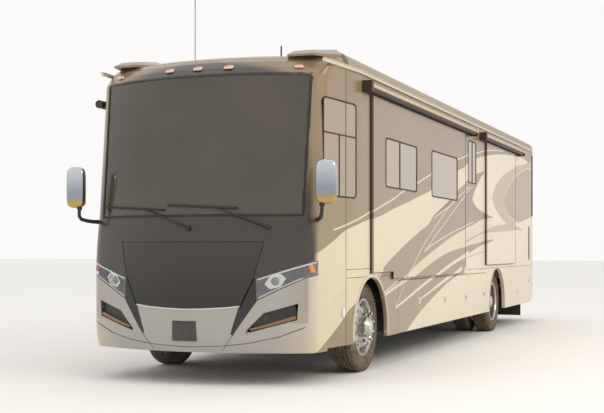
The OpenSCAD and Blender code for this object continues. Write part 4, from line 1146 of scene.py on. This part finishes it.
class COACH_OT_mirrors(PieceOperator, bpy.types.Operator):
    """Build the mirrors on their curved arms"""
    bl_idname = "coach.mirrors"
    bl_label = "Mirrors"

    def make(self, sizes):
        shell, face, low, arm = Shell(), Shell(), Shell(), Shell()

        def head(target, z0, z1, x0, x1, s0, s1, power, steps=12):
            rings = []
            for j in range(steps + 1):
                v = -1 + 2 * j / steps
                v = math.copysign(abs(v) ** .6, v)
                k = max(.02, (1 - abs(v) ** 5)) ** .2
                rings.append([((x0 + x1) / 2 + (x1 - x0) / 2 * k * c,
                               (s0 + s1) / 2 + (s1 - s0) / 2 * k * s - HALF_LENGTH,
                               (z0 + z1) / 2 + (z1 - z0) / 2 * v) for c, s in rounded(32, power)])
            target.loft(rings)

        head(shell, 1.70, 2.11, 1.242, 1.438, .197, .288, .45)
        head(face, 1.83, 2.085, 1.258, 1.422, .282, .2915, .35)
        head(low, 1.722, 1.815, 1.258, 1.422, .282, .2915, .35)
        bend = ((1.300, .243, 1.72), (1.300, .235, 1.66), (1.298, .232, 1.615), (1.285, .250, 1.585),
                (1.255, .300, 1.570), (1.215, .370, 1.562), (1.180, .425, 1.560))
        arm.tube([(x, s - HALF_LENGTH, z) for x, s, z in bend],
                 [.017, .017, .018, .019, .019, .020, .022], 16)
        arm.tube([(1.300, .240 - HALF_LENGTH, 1.704), (1.300, .238 - HALF_LENGTH, 1.68)], [.030, .024], 20)
        finish("mirror_shells", shell, "mirror_chrome", replaces=("mirrors",), mirror=True,
               angle=50)
        finish("mirror_glasses", face, "side_glass", mirror=True)
        finish("mirror_low_glasses", low, "side_glass", mirror=True)
        finish("mirror_arms", arm, "black_plastic", mirror=True)


class COACH_OT_wipers(PieceOperator, bpy.types.Operator):
    """Build the wiper arms and blades"""
    bl_idname = "coach.wipers"
    bl_label = "Wipers"

    def make(self, sizes):
        blade, arm = Shell(), Shell()
        for pivot, a, b in (((.030, 1.479), (-1.05, 1.704), (-.24, 1.66)),
                            ((.785, 1.486), (-.23, 1.704), (.505, 1.668))):
            ribbon(blade, [a, b], .009, -.002, .010, 14)
            ribbon(blade, [(a[0] * .97 + b[0] * .03, a[1] + .001), (a[0] * .03 + b[0] * .97, b[1] + .001)],
                   .020, .010, .020, 14)
            mid = ((a[0] + 2 * b[0]) / 3, (a[1] + 2 * b[1]) / 3 + .002)
            path = [pivot, (pivot[0] * .75 + mid[0] * .25, pivot[1] * .75 + mid[1] * .25 + .012), mid]
            pts = []
            for k in range(13):
                t = k / 12
                x = (1 - t) ** 2 * path[0][0] + 2 * t * (1 - t) * path[1][0] + t * t * path[2][0]
                z = (1 - t) ** 2 * path[0][1] + 2 * t * (1 - t) * path[1][1] + t * t * path[2][1]
                pts.append(skin(x, z, .030 if t < .9 else .026))
            arm.tube(pts, [.013 - .006 * k / 12 for k in range(13)], 10)
            n = (skin(*pivot, 1) - skin(*pivot, 0)).normalized()
            p = skin(*pivot, 0)
            arm.tube([p - n * .004, p + n * .012, p + n * .030, p + n * .036], [.026, .024, .020, .012], 20)
        finish("wiper_blades", blade, "black_rubber", replaces=("wipers",), bevel=.001)
        finish("wiper_arms", arm, "black_plastic")


class COACH_OT_roof(PieceOperator, bpy.types.Operator):
    """Finish the roof units, the awnings and the antennas"""
    bl_idname = "coach.roof"
    bl_label = "Roof"

    def make(self, sizes):
        smooth_copy("roof_units", "roof_skin", bevel=.012)
        smooth_copy("antennas", "black_plastic")
        smooth_copy("patio_awning", "awning_case")
        smooth_copy("main_topper", "topper_cover")
        smooth_copy("bedroom_topper", "topper_cover")
        for i, s in enumerate((4.2, 8.0)):
            grow(f"roof_unit_louvres_{i + 1}", "slats_in_a_row", {
                "Count": 9, "Step": (0, .05, 0), "Start": (0, s - .19 - HALF_LENGTH, 3.4795),
                "Size": (.46, .018, .005), "Tilt": (.35, 0, 0)}, "black_plastic")


class COACH_OT_cab(PieceOperator, bpy.types.Operator):
    """Build the two padded seats and finish the dashboard and the steering wheel"""
    bl_idname = "coach.cab"
    bl_label = "Cab"

    def pad(self, name, lo, hi):
        """One cushion between two corners, which swells by no more than PAD_CROWN."""
        size = [b - a for a, b in zip(lo, hi)]
        mid = [(a + b) / 2 for a, b in zip(lo, hi)]
        bm = bmesh.new()
        bmesh.ops.create_cube(bm, size=2)
        bmesh.ops.subdivide_edges(bm, edges=bm.edges, cuts=9, use_grid_fill=True)
        for v in bm.verts:
            p = v.co
            radius = sum(abs(c) ** PAD_ROUNDING for c in p) ** (1 / PAD_ROUNDING)
            q = [c / max(radius, 1e-6) * max(abs(a) for a in p) for c in p]
            v.co = Vector([m + s / 2 * PAD_START * c for m, s, c in zip(mid, size, q)])
        mesh = bpy.data.meshes.new(name)
        bm.to_mesh(mesh)
        bm.free()
        piece = register_piece(name, mesh, "seat_leather", "coach", angle=80)
        remesh = piece.modifiers.new("Voxels", "REMESH")
        remesh.mode, remesh.voxel_size = "VOXEL", PAD_VOXEL
        deps = bpy.context.evaluated_depsgraph_get()
        fine = bpy.data.meshes.new_from_object(piece.evaluated_get(deps))
        piece.modifiers.remove(remesh)
        start = [v.co.copy() for v in fine.vertices]
        piece.data = fine
        cloth = piece.modifiers.new("Pad", "CLOTH")
        cloth.settings.use_pressure = True
        cloth.settings.uniform_pressure_force = PAD_PRESSURE
        cloth.settings.effector_weights.gravity = 0.0
        cloth.settings.quality = 4
        for f in range(1, PAD_FRAMES + 1):
            bpy.context.scene.frame_set(f)
        deps = bpy.context.evaluated_depsgraph_get()
        puffed = bpy.data.meshes.new_from_object(piece.evaluated_get(deps))
        piece.modifiers.remove(cloth)
        bpy.context.scene.frame_set(1)
        for v, p in zip(puffed.vertices, start):
            move = v.co - p
            if move.length > PAD_CROWN:
                v.co = p + move.normalized() * PAD_CROWN
            for i in range(3):
                v.co[i] = min(max(v.co[i], lo[i]), hi[i])
        piece.data = puffed
        puffed.shade_smooth()
        puffed.materials.clear()
        puffed.materials.append(MATERIALS["seat_leather"])
        m = piece.modifiers.new("Smooth", "SUBSURF")
        m.levels = m.render_levels = 1
        return piece

    def make(self, sizes):
        y = 1.25 - HALF_LENGTH
        for label, x in (("driver", SEAT_X), ("passenger", -SEAT_X)):
            for part, lo, hi in (("cushion", (x - .26, y - .26, 1.421), (x + .26, y + .26, 1.558)),
                                 ("back", (x - .25, y + .262, 1.452), (x + .25, y + .388, 2.088)),
                                 ("headrest", (x - .14, y + .277, 2.092), (x + .14, y + .373, 2.288))):
                piece = self.pad(f"{label}_seat_{part}", lo, hi)
                if (label, part) == ("driver", "cushion"):
                    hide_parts("seats")
        piping = Shell()
        for x in (SEAT_X, -SEAT_X):
            piping.tube([(x + PIPING_HALF * c, y + PIPING_HALF * s, 1.49) for c, s in rounded(32, .25)],
                        .004, 6, True)
        finish("seat_piping", piping, "black_plastic")
        smooth_copy("dashboard", "dash_plastic")
        smooth_copy("steering_wheel", "black_plastic")
        cluster = Shell()
        cluster.box((.40, .585 - HALF_LENGTH, 1.30), (.72, .622 - HALF_LENGTH, 1.42))
        finish("gauge_panel", cluster, "projector_glass", bevel=.006)


class COACH_OT_rear(PieceOperator, bpy.types.Operator):
    """Add the hatch's louvres, handle and blank plate"""
    bl_idname = "coach.rear"
    bl_label = "Rear end"

    def make(self, sizes):
        y = REAR_FACE
        for i, x in enumerate((-.42, .42)):
            grow(f"hatch_louvres_{i + 1}", "slats_in_a_row", {
                "Count": 14, "Step": (0, 0, .032), "Start": (x, y + .001, .86), "Size": (.56, .014, .014),
                "Tilt": (.5, 0, 0)}, "black_plastic", "engine_hatch")
        pull = Shell()
        pull.box((-.09, y - .003, .70), (.09, y + .008, .76))
        finish("hatch_handle", pull, "chrome", "engine_hatch", .004)
        sheet = Shell()
        sheet.box((-.155, y - .003, 1.40), (.155, y + .003, 1.53))
        finish("rear_blank_plate", sheet, "plate_blank", "engine_hatch", .003)


class COACH_OT_stage(bpy.types.Operator):
    """Set the floor, the soft lights and the camera"""
    bl_idname = "coach.stage"
    bl_label = "Stage"

    def light(self, name, place, target, size, power, colour, glossy=True):
        data = bpy.data.lights.new(name, "AREA")
        data.shape, data.size, data.size_y = "RECTANGLE", size[0], size[1]
        data.energy, data.color = power, colour
        o = bpy.data.objects.new(name, data)
        o.location = place
        o.visible_glossy = glossy
        o.rotation_euler = (Vector(target) - Vector(place)).to_track_quat("-Z", "Y").to_euler()
        bpy.context.scene.collection.objects.link(o)

    def execute(self, context):
        scene = context.scene
        mesh = bpy.data.meshes.new("floor")
        mesh.from_pydata([(-90, -60, 0), (90, -60, 0), (90, 120, 0), (-90, 120, 0)], [], [(0, 1, 2, 3)])
        floor = bpy.data.objects.new("floor", mesh)
        scene.collection.objects.link(floor)
        m, t, p = new_material("floor_paper")
        g = Graph(t)
        paper = g.mix(g.noise(g.vector, .3), (.86, .85, .83, 1), (.90, .89, .87, 1))
        t.links.new(paper, p.inputs["Base Color"])
        p.inputs["Roughness"].default_value = .9
        p.inputs["Specular IOR Level"].default_value = .1
        mesh.materials.append(m)
        world = bpy.data.worlds.new("studio")
        world.use_nodes = True
        scene.world = world
        back = world.node_tree.nodes["Background"]
        back.inputs[0].default_value = (1.0, .99, .975, 1)
        back.inputs[1].default_value = .97
        self.light("key", (12, -6, 9), (1, 0, 1.2), (9, 5), 620, (1.0, .90, .74))
        self.light("front", (-5, -17, 6), (0, -5, 1.6), (8, 5), 110, (.92, .96, 1.0), False)
        self.light("top", (0, 0, 14), (0, 0, 0), (12, 16), 120, (1, 1, 1))
        cam = bpy.data.cameras.new("camera")
        cam.sensor_width = SENSOR
        cam.lens = FOCAL * SENSOR
        cam.shift_y = HORIZON_SHIFT
        cam.clip_end = 400
        o = bpy.data.objects.new("camera", cam)
        o.location = (4.917, -15.113, 1.278)
        o.rotation_euler = (math.radians(90), 0, .37647)
        scene.collection.objects.link(o)
        scene.camera = o
        scene.view_settings.view_transform = "Standard"
        return {"FINISHED"}


def colour_property(name, description, default):
    return bpy.props.FloatVectorProperty(name=name, description=description, subtype="COLOR", size=3,
                                         min=0, max=1, default=default[:3])


class CoachColours(bpy.types.PropertyGroup):
    """Paint colours of the coach"""
    taupe: colour_property("Taupe", "Main colour of the sides", rgb(138, 117, 90))
    cream: colour_property("Cream", "Light bands and lower panels", rgb(224, 211, 184))
    tan: colour_property("Tan", "Middle bands", rgb(184, 161, 125))
    shade: colour_property("Shade", "Darkest slivers", rgb(112, 91, 64))
    bronze: colour_property("Bronze", "Front face", rgb(54, 46, 39))
    # Grey of the bumper's front, darker than the side paint: painted shade on the silver-cream paint.
    silver: colour_property("Silver", "Front bumper", rgb(166, 162, 155))


def size_property(name, description, default, low, high):
    return bpy.props.FloatProperty(name=name, description=description, default=default, min=low, max=high,
                                   unit="LENGTH")


class CoachSizes(bpy.types.PropertyGroup):
    """Sizes of the fitted details"""
    tyre_width: size_property("Tyre width", "Width of one tyre", .255, .2, .3)
    gasket: size_property("Window gasket", "Width of the side windows' gaskets", .011, .005, .04)
    screen_gasket: size_property("Windscreen gasket", "Width of the windscreen's gasket", .022, .01, .05)


OPERATORS = (
    COACH_OT_materials, COACH_OT_body, COACH_OT_chassis, COACH_OT_wheels, COACH_OT_windows,
    COACH_OT_trim, COACH_OT_front, COACH_OT_lamps, COACH_OT_mirrors, COACH_OT_wipers, COACH_OT_roof,
    COACH_OT_cab, COACH_OT_rear, COACH_OT_stage)


class COACH_PT_panel(bpy.types.Panel):
    """Lists the pieces of the motorhome"""
    bl_idname = "COACH_PT_panel"
    bl_label = "Motorhome"
    bl_space_type = "VIEW_3D"
    bl_region_type = "UI"
    bl_category = "Motorhome"

    def draw(self, context):
        for group in (context.scene.coach_colours, context.scene.coach_sizes):
            for key in group.bl_rna.properties.keys():
                if key not in ("rna_type", "name"):
                    self.layout.prop(group, key)
        for operator in OPERATORS:
            self.layout.operator(operator.bl_idname)


CLASSES = (CoachColours, CoachSizes) + OPERATORS + (COACH_PT_panel,)


def register():
    for cls in CLASSES:
        bpy.utils.register_class(cls)
    bpy.types.Scene.coach_colours = bpy.props.PointerProperty(type=CoachColours)
    bpy.types.Scene.coach_sizes = bpy.props.PointerProperty(type=CoachSizes)


def unregister():
    del bpy.types.Scene.coach_colours
    del bpy.types.Scene.coach_sizes
    for cls in reversed(CLASSES):
        bpy.utils.unregister_class(cls)


def main():
    register()
    for operator in OPERATORS:
        group, name = operator.bl_idname.split(".")
        getattr(getattr(bpy.ops, group), name)()
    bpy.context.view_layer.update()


if __name__ == "__main__":
    main()
